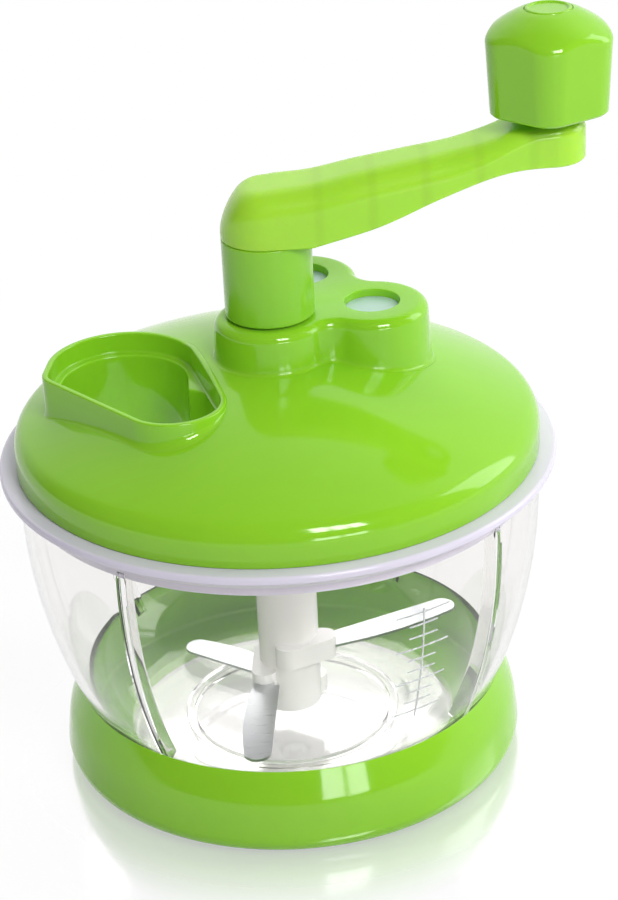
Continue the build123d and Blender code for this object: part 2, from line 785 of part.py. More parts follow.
with BuildPart() as knob_washer:
    ring(knob_axis, arm_end_top, arm_end_top + washer_thickness, knob_hub_radius, knob_axle_radius)
knob_washer.part.label = "knob_washer"
export_step(knob_washer.part, "parts/knob_washer.step")


def knob_face(inset):
    """Outline stretched round the knob's corner circles."""
    corner = knob_corner_radius - knob_shrink - inset
    with BuildSketch() as face:
        with PolarLocations(knob_reach - knob_corner_radius, knob_sides, start_angle=knob_turn):
            Circle(corner)
        make_hull()
    return face.sketch


with BuildPart() as knob_blank:
    with BuildSketch(Plane(origin=(crank_reach, 0, knob_bottom))):
        add(knob_face(0))
    extrude(amount=knob_top - knob_bottom, taper=-knob_draft)
    # convex crown, turned about the knob's own axis
    with BuildSketch(Plane(origin=(crank_reach, 0, 0), x_dir=(1, 0, 0), z_dir=(0, -1, 0))):
        with BuildLine():
            crown = ThreePointArc(
                (knob_cap_radius, knob_top),
                (knob_reach - crown_middle_inset, knob_top - crown_middle_drop),
                (knob_reach + crown_overhang, knob_top - crown_drop),
            )
            Polyline(
                crown @ 1,
                (knob_reach + knob_shrink, knob_top - crown_drop),
                (knob_reach + knob_shrink, knob_bottom),
                (0, knob_bottom),
                (0, knob_top),
                crown @ 0,
            )
        make_face()
    revolve(axis=Axis((crank_reach, 0, 0), (0, 0, 1)), mode=Mode.INTERSECT)

with BuildPart() as knob_body:
    add(knob_blank.part)
    with BuildSketch(Plane(origin=(crank_reach, 0, knob_bottom))):
        add(knob_face(knob_wall))
    extrude(amount=knob_seat - knob_wall - knob_bottom, taper=-knob_draft, mode=Mode.SUBTRACT)
    disc(knob_axis, knob_bottom - knob_hub_depth, knob_seat, knob_hub_radius)
    disc(knob_axis, knob_bottom - knob_hub_depth, knob_seat, knob_axle_radius + running_gap, Mode.SUBTRACT)
    disc(knob_axis, knob_seat, knob_top, knob_cap_radius, Mode.SUBTRACT)
knob_body.part.label = "knob_body"
export_step(knob_body.part, "parts/knob_body.step")

with BuildPart() as knob_cap:
    disc(knob_axis, knob_seat, knob_top - knob_cap_gap, knob_cap_radius)
    fillet(knob_cap.edges().sort_by(Axis.Z)[-1], knob_cap_edge)
    disc(
        knob_axis,
        knob_seat,
        knob_head_height + knob_head_thickness + end_float,
        knob_head_radius + end_float,
        Mode.SUBTRACT,
    )
    disc(knob_axis, knob_top - knob_cap_gap - knob_cap_dish, knob_top, knob_cap_dish_radius, Mode.SUBTRACT)
knob_cap.part.label = "knob_cap"
export_step(knob_cap.part, "parts/knob_cap.step")

# ---------------------------------------------------------------- blade rotor

blades = []
for name, rise, tip, angle in zip(blade_names, blade_rises, blade_tips, blade_angles):
    with BuildPart() as blade:
        plane = Plane(
            origin=(0, 0, bowl_floor + rise - blade_thickness / 2),
            x_dir=(cos(radians(angle)), sin(radians(angle)), 0),
            z_dir=(0, 0, 1),
        )
        with BuildSketch(plane):
            with BuildLine():
                back = Line(
                    (holder_reach, blade_width / 2 - blade_offset),
                    (tip - blade_width / 2, blade_width / 2 - blade_offset),
                )
                point = TangentArc(
                    back @ 1,
                    (tip - blade_taper, -blade_taper - blade_offset),
                    tangent=back % 1,
                )
                ThreePointArc(
                    point @ 1,
                    ((tip + holder_reach) / 2, -blade_width / 2 - blade_offset),
                    (holder_reach, -blade_taper - blade_offset),
                )
                Line((holder_reach, -blade_taper - blade_offset), back @ 0)
            make_face()
            with Locations((holder_reach / 2, -blade_offset)):
                Rectangle(holder_reach, tang_width)
        extrude(amount=blade_thickness)
    blade.part.label = name
    export_step(blade.part, f"parts/{name}.step")
    blades.append(blade.part)

with BuildPart() as rotor_hub:
    disc(centre, rotor_bottom, rotor_top, rotor_radius)
    for rise, angle in zip(blade_rises, blade_angles):
        head = bowl_floor + rise + holder_height / 2
        foot = max(head - holder_height, rotor_bottom)
        plane = Plane(
            origin=(0, 0, foot),
            x_dir=(cos(radians(angle)), sin(radians(angle)), 0),
            z_dir=(0, 0, 1),
        )
        with BuildSketch(plane) as holder:
            with Locations(((holder_reach + holder_back) / 2, -blade_offset)):
                SlotOverall(holder_reach - holder_back, holder_width)
        extrude(holder.sketch, amount=head - foot)
    hexagon(centre, rotor_top, rotor_top + drive_height, drive_hex)
    disc(centre, rotor_bottom, pin_top + end_float, pin_radius + running_gap, Mode.SUBTRACT)
    disc(centre, rotor_bottom, rotor_recess_top, pin_boss_radius + end_float, Mode.SUBTRACT)
    for blade_part in blades:
        add(blade_part, mode=Mode.SUBTRACT)
rotor_hub.part.label = "rotor_hub"
export_step(rotor_hub.part, "parts/rotor_hub.step")
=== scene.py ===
"""Crank food chopper: smooth shells, finishes, floor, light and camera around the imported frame.

Sizes are written in millimetres and turned into metres by MM where a mesh is made. A shape is a
profile carried round an outline or an axis, computed as whole arrays.
"""
from math import acos, atan2, cos, pi, radians, sin, sqrt, tan

import bmesh
import bpy
import numpy as np
from mathutils import Matrix, Vector
from mathutils.geometry import delaunay_2d_cdt


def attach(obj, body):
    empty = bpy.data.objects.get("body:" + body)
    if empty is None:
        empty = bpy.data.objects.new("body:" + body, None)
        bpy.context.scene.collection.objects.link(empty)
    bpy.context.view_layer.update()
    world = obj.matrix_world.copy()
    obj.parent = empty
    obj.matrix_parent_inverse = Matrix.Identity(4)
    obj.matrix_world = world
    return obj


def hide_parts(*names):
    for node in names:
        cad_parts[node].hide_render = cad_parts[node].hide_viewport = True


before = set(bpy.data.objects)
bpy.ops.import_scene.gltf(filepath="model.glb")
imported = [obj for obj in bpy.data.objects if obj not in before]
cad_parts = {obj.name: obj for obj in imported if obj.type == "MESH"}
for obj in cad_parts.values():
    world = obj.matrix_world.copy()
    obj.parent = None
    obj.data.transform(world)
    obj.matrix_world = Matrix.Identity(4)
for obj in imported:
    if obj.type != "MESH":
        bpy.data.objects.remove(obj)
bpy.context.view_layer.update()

MM = 0.001
CENTRE = (0.0, 0.0)

# ---------------------------------------------------------------- sizes shared by several pieces

BASE_HEIGHT = 30.7
BASE_TOP_RADIUS = 75.2
BOWL_HEIGHT = 112.6
BELLY_RADIUS = 89.0
BOWL_WALL = 2.8
SIDE_ARC = 177.0
BOTTOM_ARC = 36.0
BOWL_BOTTOM = 8.95
BOWL_TURN = radians(23.2)
SIDE_CENTRE = (BELLY_RADIUS - SIDE_ARC, BOWL_BOTTOM + BOTTOM_ARC + (SIDE_ARC - BOTTOM_ARC) * sin(BOWL_TURN))
BOTTOM_CENTRE = (SIDE_CENTRE[0] + (SIDE_ARC - BOTTOM_ARC) * cos(BOWL_TURN), BOWL_BOTTOM + BOTTOM_ARC)
BOWL_FLOOR = BOWL_BOTTOM + BOWL_WALL
NECK_RADIUS = 73.6
RIB_ANGLES = radians(-37.0) + pi / 2 * np.arange(4)
FLANGE_TOP = 115.6
DOME_RADIUS = 89.3
DOME_TOP = 150.4
DOME_ARC = 185.0
SHOULDER = 8.0
DOME_WALL = 2.2
CROWN_CENTRE = DOME_TOP - DOME_ARC
SHOULDER_RADIUS = DOME_RADIUS - SHOULDER
SHOULDER_HEIGHT = CROWN_CENTRE + sqrt((DOME_ARC - SHOULDER) ** 2 - SHOULDER_RADIUS**2)
LOBE_REACH = 35.0
LOBE_AXES = (CENTRE, *((LOBE_REACH * cos(radians(a)), LOBE_REACH * sin(radians(a))) for a in (11, 71)))
LOBE_RADIUS = 20.3
LOBE_FOOT = 134.0
LOBE_WALL = 2.4
LOBE_TOP = 163.5
LOBE_DRAFT = tan(radians(3))
LOBE_VALLEY = 7.0
LOBE_EDGE = 3.5
BORE_RADIUS = 9.38
CHUTE_RIM = 147.8
CHUTE_WALL = 2.0
CHUTE_MIDDLE = (-43.0, -13.0)
CHUTE_ROUNDS = ((-50.5, 2.0, 26.0), (-68.5, -4.0, 9.0), (-33.3, -31.3, 17.5))
THROAT_ROUNDS = ((-50.5, 2.0, 21.3), (-68.5, -4.0, 4.3), (-39.0, -28.0, 10.8))
THROAT_BAY = ((-33.3, -31.3, 14.4), (-34.0, -31.3, 14.3))
THROAT_WIDE_BAY = ((-33.3, -31.3, 15.2), (-34.6, -22.0, 15.6))
THROAT_WALL = 1.8
SHELF_TOP = 140.8
THROAT_EXIT = 109.0
NARROWING = 20.0
POST_RADIUS = 15.0
POST_BOTTOM = 164.2
SEAM = 191.6
CRANK_REACH = 93.5
KNOB_AXIS = (CRANK_REACH, 0.0)
ARM_END_RADIUS = 11.9
ARM_WALL = 2.2
RIB_SPACING = 17.5
ARM_END_TOP = 227.4
ARM_TOP_LINE = (
    (-15.5, 202.0), (-8.5, 208.0), (2.0, 210.2), (14.0, 211.2), (30.0, 214.4), (46.0, 217.2),
    (60.0, 219.6), (74.0, 223.0), (84.0, 226.4), (92.0, ARM_END_TOP), (106.5, ARM_END_TOP),
)
ARM_BOTTOM_LINE = ((15.0, SEAM), (38.0, 197.8), (58.0, 206.0), (78.0, 212.6), (106.5, 213.8))
KNOB_BOTTOM = 229.8
CAP_RADIUS = 7.7

# ---------------------------------------------------------------- mesh from arrays


def grid_faces(rows, columns, wrap_rows, wrap_columns):
    """Corner numbers of every cell of a grid, with its ends joined where it wraps."""
    u = np.arange(rows if wrap_rows else rows - 1)
    v = np.arange(columns if wrap_columns else columns - 1)
    u, v = (a.ravel() for a in np.meshgrid(u, v, indexing="ij"))
    after_u, after_v = (u + 1) % rows, (v + 1) % columns
    corners = ((u, v), (after_u, v), (after_u, after_v), (u, after_v))
    return np.stack([row * columns + column for row, column in corners], 1)


def sheet(points, wrap_rows=True, wrap_columns=False):
    """Vertices and faces of a grid of points shaped (rows, columns, 3)."""
    rows, columns, _ = points.shape
    return points.reshape(-1, 3), grid_faces(rows, columns, wrap_rows, wrap_columns).tolist()


def reach_along(middle, loop, angles):
    """Distance from a middle point to a loop around it, in each direction."""
    away = np.asarray(loop) - middle
    turn = np.arctan2(away[:, 1], away[:, 0])
    return np.interp(angles, turn, np.hypot(away[:, 0], away[:, 1]), period=2 * pi)


def inside(loop, points):
    """Whether points lie within a loop: a line to the right of each crosses it an odd number of times."""
    x, y = points[:, :1], points[:, 1:]
    from_x, from_y = np.asarray(loop).T
    to_x, to_y = np.roll(loop, -1, 0).T
    spans = (from_y > y) != (to_y > y)
    rise = np.where(to_y == from_y, 1.0, to_y - from_y)
    crossing = from_x + (y - from_y) * (to_x - from_x) / rise
    return (spans & (x < crossing)).sum(1) % 2 == 1


def flat_patch(loops, scatter=()):
    """Plan points and triangles of the face within the first loop and outside the others."""
    corners = np.concatenate([*loops, *scatter])
    edges, start = [], 0
    for loop in loops:
        count = len(loop)
        edges += [(start + i, start + (i + 1) % count) for i in range(count)]
        start += count
    flat, _, triangles, _, _, _ = delaunay_2d_cdt([Vector(c) for c in corners], edges, [], 1, 1e-5)
    flat = np.array(flat)
    triangles = np.array([list(t) for t in triangles])
    middles = flat[triangles].mean(1)
    kept = np.ones(len(triangles), bool)
    for loop in loops[1:]:
        kept &= ~inside(loop, middles)
    return flat, triangles[kept].tolist()


def level_patch(loops, height):
    """Level face bounded by the first loop and holed by the others."""
    flat, triangles = flat_patch(loops)
    return np.column_stack((flat, np.full(len(flat), height))), triangles


def piece(name, parts, body, material, replaced=(), sharp=38):
    """One closed mesh object from several (vertices, faces) parts, welded where they meet."""
    vertices = np.concatenate([part[0] for part in parts]) * MM
    faces, start = [], 0
    for part_vertices, part_faces in parts:
        faces += [[start + i for i in face] for face in part_faces]
        start += len(part_vertices)
    mesh = bpy.data.meshes.new(name)
    mesh.from_pydata(vertices.tolist(), [], faces)
    form = bmesh.new()
    form.from_mesh(mesh)
    bmesh.ops.remove_doubles(form, verts=form.verts, dist=0.002 * MM)
    bmesh.ops.recalc_face_normals(form, faces=form.faces)
    form.to_mesh(mesh)
    form.free()
    mesh.shade_smooth()
    mesh.set_sharp_from_angle(angle=radians(sharp))
    mesh.materials.append(material)
    made = bpy.data.objects.new(name, mesh)
    bpy.context.scene.collection.objects.link(made)
    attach(made, body)
    if replaced:
        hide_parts(*replaced)
    return made


def rounded(corners, steps=8, closed=True):
    """Path through (r, z, radius) corners, each turned into a tangent arc of its radius."""
    path = []
    count = len(corners)
    for i, (r, z, radius) in enumerate(corners):
        here = np.array((r, z))
        if radius == 0 or (not closed and i in (0, count - 1)):
            path.append(here[None])
            continue
        before = np.array(corners[i - 1][:2]) - here
        after = np.array(corners[(i + 1) % count][:2]) - here
        before /= np.linalg.norm(before)
        after /= np.linalg.norm(after)
        half = acos(np.clip(before @ after, -1, 1)) / 2
        middle = here + (before + after) / np.linalg.norm(before + after) * radius / sin(half)
        start = here + before * radius / tan(half) - middle
        end = here + after * radius / tan(half) - middle
        turn = pi - 2 * half
        share = np.linspace(0, 1, steps + 1)[:, None]
        path.append(middle + (np.sin((1 - share) * turn) * start + np.sin(share * turn) * end) / sin(turn))
    return np.concatenate(path)


def revolved(profile, centre=CENTRE, turns=256, closed=True):
    """Profile of (r, z) points turned round a vertical axis: (x, y) = centre + r (cos a, sin a)."""
    angles = np.linspace(0, 2 * pi, turns, endpoint=False)[:, None]
    r, z = profile[:, 0][None], profile[:, 1][None]
    points = np.stack(
        (centre[0] + r * np.cos(angles), centre[1] + r * np.sin(angles), z + 0 * angles), axis=2
    )
    return sheet(points, True, closed)


def circle(centre, radius, count=96):
    """Level circle as (x, y) points."""
    angles = np.linspace(0, 2 * pi, count, endpoint=False)
    return np.stack((centre[0] + radius * np.cos(angles), centre[1] + radius * np.sin(angles)), 1)


def hull_outline(rounds, arc_steps=40, run_steps=14):
    """Outline stretched round (x, y, radius) circles taken anticlockwise, with its outward normals.

    The straight run from one circle to the next leaves both along the normal n for which
    n . d = (r1 - r2) / distance, d being the direction between the two middles.
    """
    middles = np.array([r[:2] for r in rounds], float)
    radii = np.array([r[2] for r in rounds], float)
    step = np.roll(middles, -1, 0) - middles
    length = np.linalg.norm(step, axis=1)
    heading = np.arctan2(step[:, 1], step[:, 0])
    lean = np.arccos((radii - np.roll(radii, -1)) / length)
    leaving = heading - lean
    arriving = np.roll(leaving, 1)
    points, normals = [], []
    for i in range(len(rounds)):
        sweep = (leaving[i] - arriving[i]) % (2 * pi)
        angles = arriving[i] + sweep * np.linspace(0, 1, arc_steps)
        normal = np.stack((np.cos(angles), np.sin(angles)), 1)
        points.append(middles[i] + radii[i] * normal)
        normals.append(normal)
        after = (i + 1) % len(rounds)
        share = np.linspace(0, 1, run_steps + 2)[1:-1, None]
        run_normal = np.repeat(normal[-1:], run_steps, 0)
        run_middle = (1 - share) * middles[i] + share * middles[after]
        run_radius = (1 - share) * radii[i] + share * radii[after]
        points.append(run_middle + run_radius * run_normal)
        normals.append(run_normal)
    return np.concatenate(points), np.concatenate(normals)


def trefoil_outline(arc_steps=72, valley_steps=24):
    """Outline of the three joined lobes: outer arcs round each axis, inward arcs in the valleys."""
    axes = np.array(LOBE_AXES)
    spread = LOBE_RADIUS + LOBE_VALLEY
    side = np.roll(axes, -1, 0) - axes
    outward = np.stack((side[:, 1], -side[:, 0]), 1) / np.linalg.norm(side, axis=1)[:, None]
    half = np.linalg.norm(side, axis=1)[:, None] / 2
    valleys = axes + side / 2 + outward * np.sqrt(spread**2 - half**2)
    points, normals = [], []
    for i in range(3):
        first = valleys[i - 1] - axes[i]
        last = valleys[i] - axes[i]
        start = atan2(first[1], first[0])
        sweep = (atan2(last[1], last[0]) - start) % (2 * pi)
        angles = start + sweep * np.linspace(0, 1, arc_steps)
        normal = np.stack((np.cos(angles), np.sin(angles)), 1)
        points.append(axes[i] + LOBE_RADIUS * normal)
        normals.append(normal)
        first = axes[i] - valleys[i]
        last = axes[(i + 1) % 3] - valleys[i]
        start = atan2(first[1], first[0])
        sweep = -((start - atan2(last[1], last[0])) % (2 * pi))
        angles = start + sweep * np.linspace(0, 1, valley_steps + 2)[1:-1]
        normal = -np.stack((np.cos(angles), np.sin(angles)), 1)
        points.append(valleys[i] - LOBE_VALLEY * normal)
        normals.append(normal)
    return np.concatenate(points), np.concatenate(normals)


def carried(outline, normals, offsets, heights):
    """Profile carried along an outline: (x, y) = outline + offset * normal, shaped (outline, profile)."""
    x = outline[:, 0][:, None] + normals[:, 0][:, None] * offsets
    y = outline[:, 1][:, None] + normals[:, 1][:, None] * offsets
    return np.stack((x, y, heights + 0 * x), axis=2)


def dome_height(r, inset=0.0):
    """Height of the dome's crown or shoulder at a radius, moved inwards by inset."""
    crown = CROWN_CENTRE + np.sqrt(np.maximum((DOME_ARC - inset) ** 2 - r**2, 0))
    edge = SHOULDER_RADIUS * (DOME_ARC - inset) / (DOME_ARC - SHOULDER)
    shoulder = SHOULDER_HEIGHT + np.sqrt(np.maximum((SHOULDER - inset) ** 2 - (r - SHOULDER_RADIUS) ** 2, 0))
    return np.where(r < edge, crown, shoulder)


def smooth_line(knots, x):
    """Cubic through the knots with slopes taken from their neighbours, read at x."""
    kx, kz = np.array(knots).T
    slope = np.gradient(kz, kx)
    i = np.clip(np.searchsorted(kx, x) - 1, 0, len(kx) - 2)
    width = kx[i + 1] - kx[i]
    t = np.clip((x - kx[i]) / width, 0, 1)
    return (
        (2 * t**3 - 3 * t**2 + 1) * kz[i]
        + (t**3 - 2 * t**2 + t) * width * slope[i]
        + (3 * t**2 - 2 * t**3) * kz[i + 1]
        + (t**3 - t**2) * width * slope[i + 1]
    )


# ---------------------------------------------------------------- materials


def srgb(code):
    """Linear colour with alpha from a six-digit sRGB hex code."""
    value = np.array([int(code[i : i + 2], 16) / 255 for i in (1, 3, 5)])
    linear = np.where(value <= 0.04045, value / 12.92, ((value + 0.055) / 1.055) ** 2.4)
    return (*linear, 1.0)


def add_node(tree, kind, sockets=None, **settings):
    """One node with its settings, and its sockets set to values or linked to other outputs."""
    made = tree.nodes.new(kind)
    for key, value in settings.items():
        setattr(made, key, value)
    for key, value in (sockets or {}).items():
        if isinstance(value, bpy.types.NodeSocket):
            tree.links.new(value, made.inputs[key])
        else:
            made.inputs[key].default_value = value
    return made


def new_material(name):
    """Empty node material with its output, and the object's own coordinates."""
    material = bpy.data.materials.new(name)
    material.use_nodes = True
    tree = material.node_tree
    tree.nodes.clear()
    output = add_node(tree, "ShaderNodeOutputMaterial")
    place = add_node(tree, "ShaderNodeTexCoord").outputs["Object"]
    return material, tree, output, place


def rib_shadows(tree, place, colour):
    """Colour of a translucent wall over cross ribs RIB_SPACING apart along X: a little darker over each.

    The shadow starts 0.4 mm from a rib's middle and has gone at 2.6 mm, and the elbow has none.
    """
    core, edge, darkest, elbow_end = 0.4 * MM, 2.6 * MM, 0.94, 10 * MM
    along = add_node(tree, "ShaderNodeSeparateXYZ", {"Vector": place}).outputs["X"]
    from_rib = add_node(tree, "ShaderNodeMath", {0: along, 1: RIB_SPACING * MM / 2}, operation="PINGPONG")
    over_rib = add_node(
        tree,
        "ShaderNodeMapRange",
        {"Value": from_rib.outputs[0], "From Min": core, "From Max": edge, "To Min": darkest, "To Max": 1.0},
        interpolation_type="SMOOTHSTEP",
    )
    at_elbow = add_node(tree, "ShaderNodeMath", {0: along, 1: elbow_end}, operation="LESS_THAN")
    share = add_node(
        tree, "ShaderNodeMath", {0: over_rib.outputs["Result"], 1: at_elbow.outputs[0]}, operation="MAXIMUM"
    )
    shaded = add_node(tree, "ShaderNodeVectorMath", {0: colour, "Scale": share.outputs[0]}, operation="SCALE")
    return shaded.outputs["Vector"]


def moulded_plastic(name, light, dark, gloss, scatter, scatter_tint, clear=0.0, over_ribs=False):
    """Injection-moulded plastic: faint flow clouds in its colour, polished tool marks, handling haze.

    Flow clouds are about 40 mm wide, haze about 9 mm, tool marks about 0.6 mm. A translucent wall
    over ribs also shows their shadows.
    """
    cloud_width, haze_width, mark_width = 40 * MM, 9 * MM, 0.6 * MM
    material, tree, output, place = new_material(name)
    clouds = add_node(tree, "ShaderNodeTexNoise", {"Vector": place, "Scale": 1 / cloud_width, "Detail": 2.0})
    colour = add_node(
        tree,
        "ShaderNodeMix",
        {"Factor": clouds.outputs["Fac"], "A": srgb(dark), "B": srgb(light)},
        data_type="RGBA",
    ).outputs["Result"]
    if over_ribs:
        colour = rib_shadows(tree, place, colour)
    haze = add_node(tree, "ShaderNodeTexNoise", {"Vector": place, "Scale": 1 / haze_width, "Detail": 5.0})
    rough = add_node(
        tree,
        "ShaderNodeMapRange",
        {
            "Value": haze.outputs["Fac"],
            "From Min": 0.35,
            "From Max": 0.75,
            "To Min": gloss,
            "To Max": gloss + 0.07,
        },
    )
    marks = add_node(tree, "ShaderNodeTexNoise", {"Vector": place, "Scale": 1 / mark_width, "Detail": 3.0})
    bump = add_node(
        tree, "ShaderNodeBump", {"Strength": 0.035, "Distance": 0.05 * MM, "Height": marks.outputs["Fac"]}
    )
    shader = add_node(
        tree,
        "ShaderNodeBsdfPrincipled",
        {
            "Base Color": colour,
            "Roughness": rough.outputs["Result"],
            "Normal": bump.outputs["Normal"],
            "IOR": 1.49,
            "Subsurface Weight": scatter,
            "Subsurface Radius": scatter_tint,
            "Subsurface Scale": 4 * MM,
            "Transmission Weight": clear,
        },
    )
    tree.links.new(shader.outputs["BSDF"], output.inputs["Surface"])
    return material


def clear_styrene():
    """Polished clear styrene: sharp reflections, a breath of grey in its thickness, fine wash scratches.

    The scratches run level, 8 mm long and a twelfth as high. Light passes it straight, so that what
    stands in the bowl is lit through its wall.
    """
    scratch_length, scratch_ratio = 8 * MM, 12
    material, tree, output, place = new_material("clear_styrene")
    level = add_node(tree, "ShaderNodeMapping", {"Vector": place, "Scale": (1, 1, scratch_ratio)})
    scratches = add_node(
        tree,
        "ShaderNodeTexNoise",
        {"Vector": level.outputs["Vector"], "Scale": 1 / scratch_length, "Detail": 6.0},
    )
    rough = add_node(
        tree,
        "ShaderNodeMapRange",
        {"Value": scratches.outputs["Fac"], "From Min": 0.45, "From Max": 0.8, "To Min": 0.0, "To Max": 0.06},
    )
    shader = add_node(
        tree,
        "ShaderNodeBsdfPrincipled",
        {
            "Base Color": srgb("#F9F8F7"),
            "Roughness": rough.outputs["Result"],
            "IOR": 1.45,
            "Transmission Weight": 1.0,
        },
    )
    passing = add_node(tree, "ShaderNodeBsdfTransparent", {"Color": srgb("#F2F6F4")})
    rays = add_node(tree, "ShaderNodeLightPath")
    both = add_node(
        tree,
        "ShaderNodeMixShader",
        {0: rays.outputs["Is Shadow Ray"], 1: shader.outputs[0], 2: passing.outputs[0]},
    )
    tree.links.new(both.outputs[0], output.inputs["Surface"])
    return material


def ground_stainless():
    """Rolled and ground stainless steel: grinding lines 0.3 mm apart along X and a soft grey sheen."""
    line_pitch, line_length = 0.3 * MM, 20
    material, tree, output, place = new_material("ground_stainless")
    stretched = add_node(tree, "ShaderNodeMapping", {"Vector": place, "Scale": (1 / line_length, 1.0, 1.0)})
    lines = add_node(
        tree,
        "ShaderNodeTexNoise",
        {"Vector": stretched.outputs["Vector"], "Scale": 1 / line_pitch, "Detail": 3.0},
    )
    rough = add_node(
        tree, "ShaderNodeMapRange", {"Value": lines.outputs["Fac"], "To Min": 0.2, "To Max": 0.42}
    )
    bump = add_node(
        tree, "ShaderNodeBump", {"Strength": 0.12, "Distance": 0.03 * MM, "Height": lines.outputs["Fac"]}
    )
    shader = add_node(
        tree,
        "ShaderNodeBsdfPrincipled",
        {
            "Base Color": srgb("#BFC2C4"),
            "Metallic": 1.0,
            "Roughness": rough.outputs["Result"],
            "Normal": bump.outputs["Normal"],
        },
    )
    tree.links.new(shader.outputs["BSDF"], output.inputs["Surface"])
    return material


def soft_rubber(name, code):
    """Soft moulded rubber: matt, with a fine even grain about 0.5 mm wide."""
    grain_width = 0.5 * MM
    material, tree, output, place = new_material(name)
    grain = add_node(tree, "ShaderNodeTexNoise", {"Vector": place, "Scale": 1 / grain_width, "Detail": 4.0})
    bump = add_node(
        tree, "ShaderNodeBump", {"Strength": 0.2, "Distance": 0.1 * MM, "Height": grain.outputs["Fac"]}
    )
    tone = add_node(
        tree,
        "ShaderNodeMix",
        {"Factor": grain.outputs["Fac"], "A": srgb(code), "B": srgb("#E4E4E8")},
        data_type="RGBA",
    )
    shader = add_node(
        tree,
        "ShaderNodeBsdfPrincipled",
        {"Base Color": tone.outputs["Result"], "Roughness": 0.7, "Normal": bump.outputs["Normal"], "IOR": 1.5},
    )
    tree.links.new(shader.outputs["BSDF"], output.inputs["Surface"])
    return material


lime_abs = moulded_plastic("lime_abs", "#90CF2B", "#88C825", 0.07, 0.12, (0.7, 1.0, 0.1))
lime_crank = moulded_plastic("lime_crank_polypropylene", "#92D032", "#88C82E", 0.16, 0.5, (0.8, 1.0, 0.15))
lime_arm = moulded_plastic(
    "lime_arm_polypropylene", "#B0E53C", "#A4DD36", 0.2, 0.6, (0.8, 1.0, 0.15), over_ribs=True
)
# White ABS whose lilac tint is partly the plastic's own colour and partly a painted lilac reflection.
white_abs_tint_and_painted_reflection = moulded_plastic("white_abs_tint_and_painted_reflection", "#DED8E6", "#D7D1E1", 0.14, 0.1, (1.0, 1.0, 1.0))
white_hub = moulded_plastic("white_hub_polypropylene", "#F1EEEC", "#E9E6E4", 0.2, 0.3, (1.0, 1.0, 1.0))
# The gears are white acetal: their grey-teal colour is painted shade, with a green cast of painted light
# bounced off the housing.
gear_acetal_painted_shade = moulded_plastic("gear_acetal_painted_shade", "#BCD5CE", "#B0CBC4", 0.28, 0.2, (1.0, 1.0, 1.0))
clear_bowl = clear_styrene()
stainless = ground_stainless()
foot_rubber = soft_rubber("foot_rubber", "#C9C9CE")
seal_silicone = soft_rubber("seal_silicone", "#DADCE0")

# ---------------------------------------------------------------- base ring and its rubber

base_rim_radius, base_foot_radius, base_foot = BASE_TOP_RADIUS - 0.6, 81.5, 0.8
bulge_radius, bulge_height, bulge_arc = 79.2, 18.5, 30.0
base_bore, base_floor = 60.0, 5.4
base_hollow, base_neck, base_neck_foot = 77.4, 73.9, 26.2
base_profile = rounded(
    (
        (base_rim_radius, BASE_HEIGHT, 0.3),
        (bulge_radius, bulge_height, bulge_arc),
        (base_foot_radius, base_foot, 6.2),
        (base_bore, base_foot, 0.6),
        (base_bore, base_floor, 0.6),
        (base_hollow, base_floor, 1.5),
        (base_neck, base_neck_foot, 4.0),
        (base_neck, BASE_HEIGHT, 0.3),
    )
)
piece("base_ring_shell", [revolved(base_profile)], "base", lime_abs, ("base_ring",))
grip_inner, grip_outer, grip_top = 69.8, 74.8, 3.2
grip_profile = rounded(
    ((grip_inner, 0.0, 0.5), (grip_outer, 0.0, 0.5), (grip_outer, grip_top, 0.0), (grip_inner, grip_top, 0.0))
)
piece("grip_ring_rubber", [revolved(grip_profile)], "base", foot_rubber, ("grip_ring",))

# ---------------------------------------------------------------- bowl


def bowl_skin(inset, low):
    """Bowl's side and bottom curves from low angle of the bottom arc up to the rim, moved in by inset."""
    rim_reach = 176.0
    bottom = np.linspace(low, -BOWL_TURN, 26)
    rim = atan2(BOWL_HEIGHT - SIDE_CENTRE[1], rim_reach)
    side = np.linspace(-BOWL_TURN, rim, 60)[1:]
    r = np.concatenate(
        (
            BOTTOM_CENTRE[0] + (BOTTOM_ARC - inset) * np.cos(bottom),
            SIDE_CENTRE[0] + (SIDE_ARC - inset) * np.cos(side),
        )
    )
    z = np.concatenate(
        (
            BOTTOM_CENTRE[1] + (BOTTOM_ARC - inset) * np.sin(bottom),
            SIDE_CENTRE[1] + (SIDE_ARC - inset) * np.sin(side),
        )
    )
    z[-1] = BOWL_HEIGHT
    return np.stack((r, z), 1)


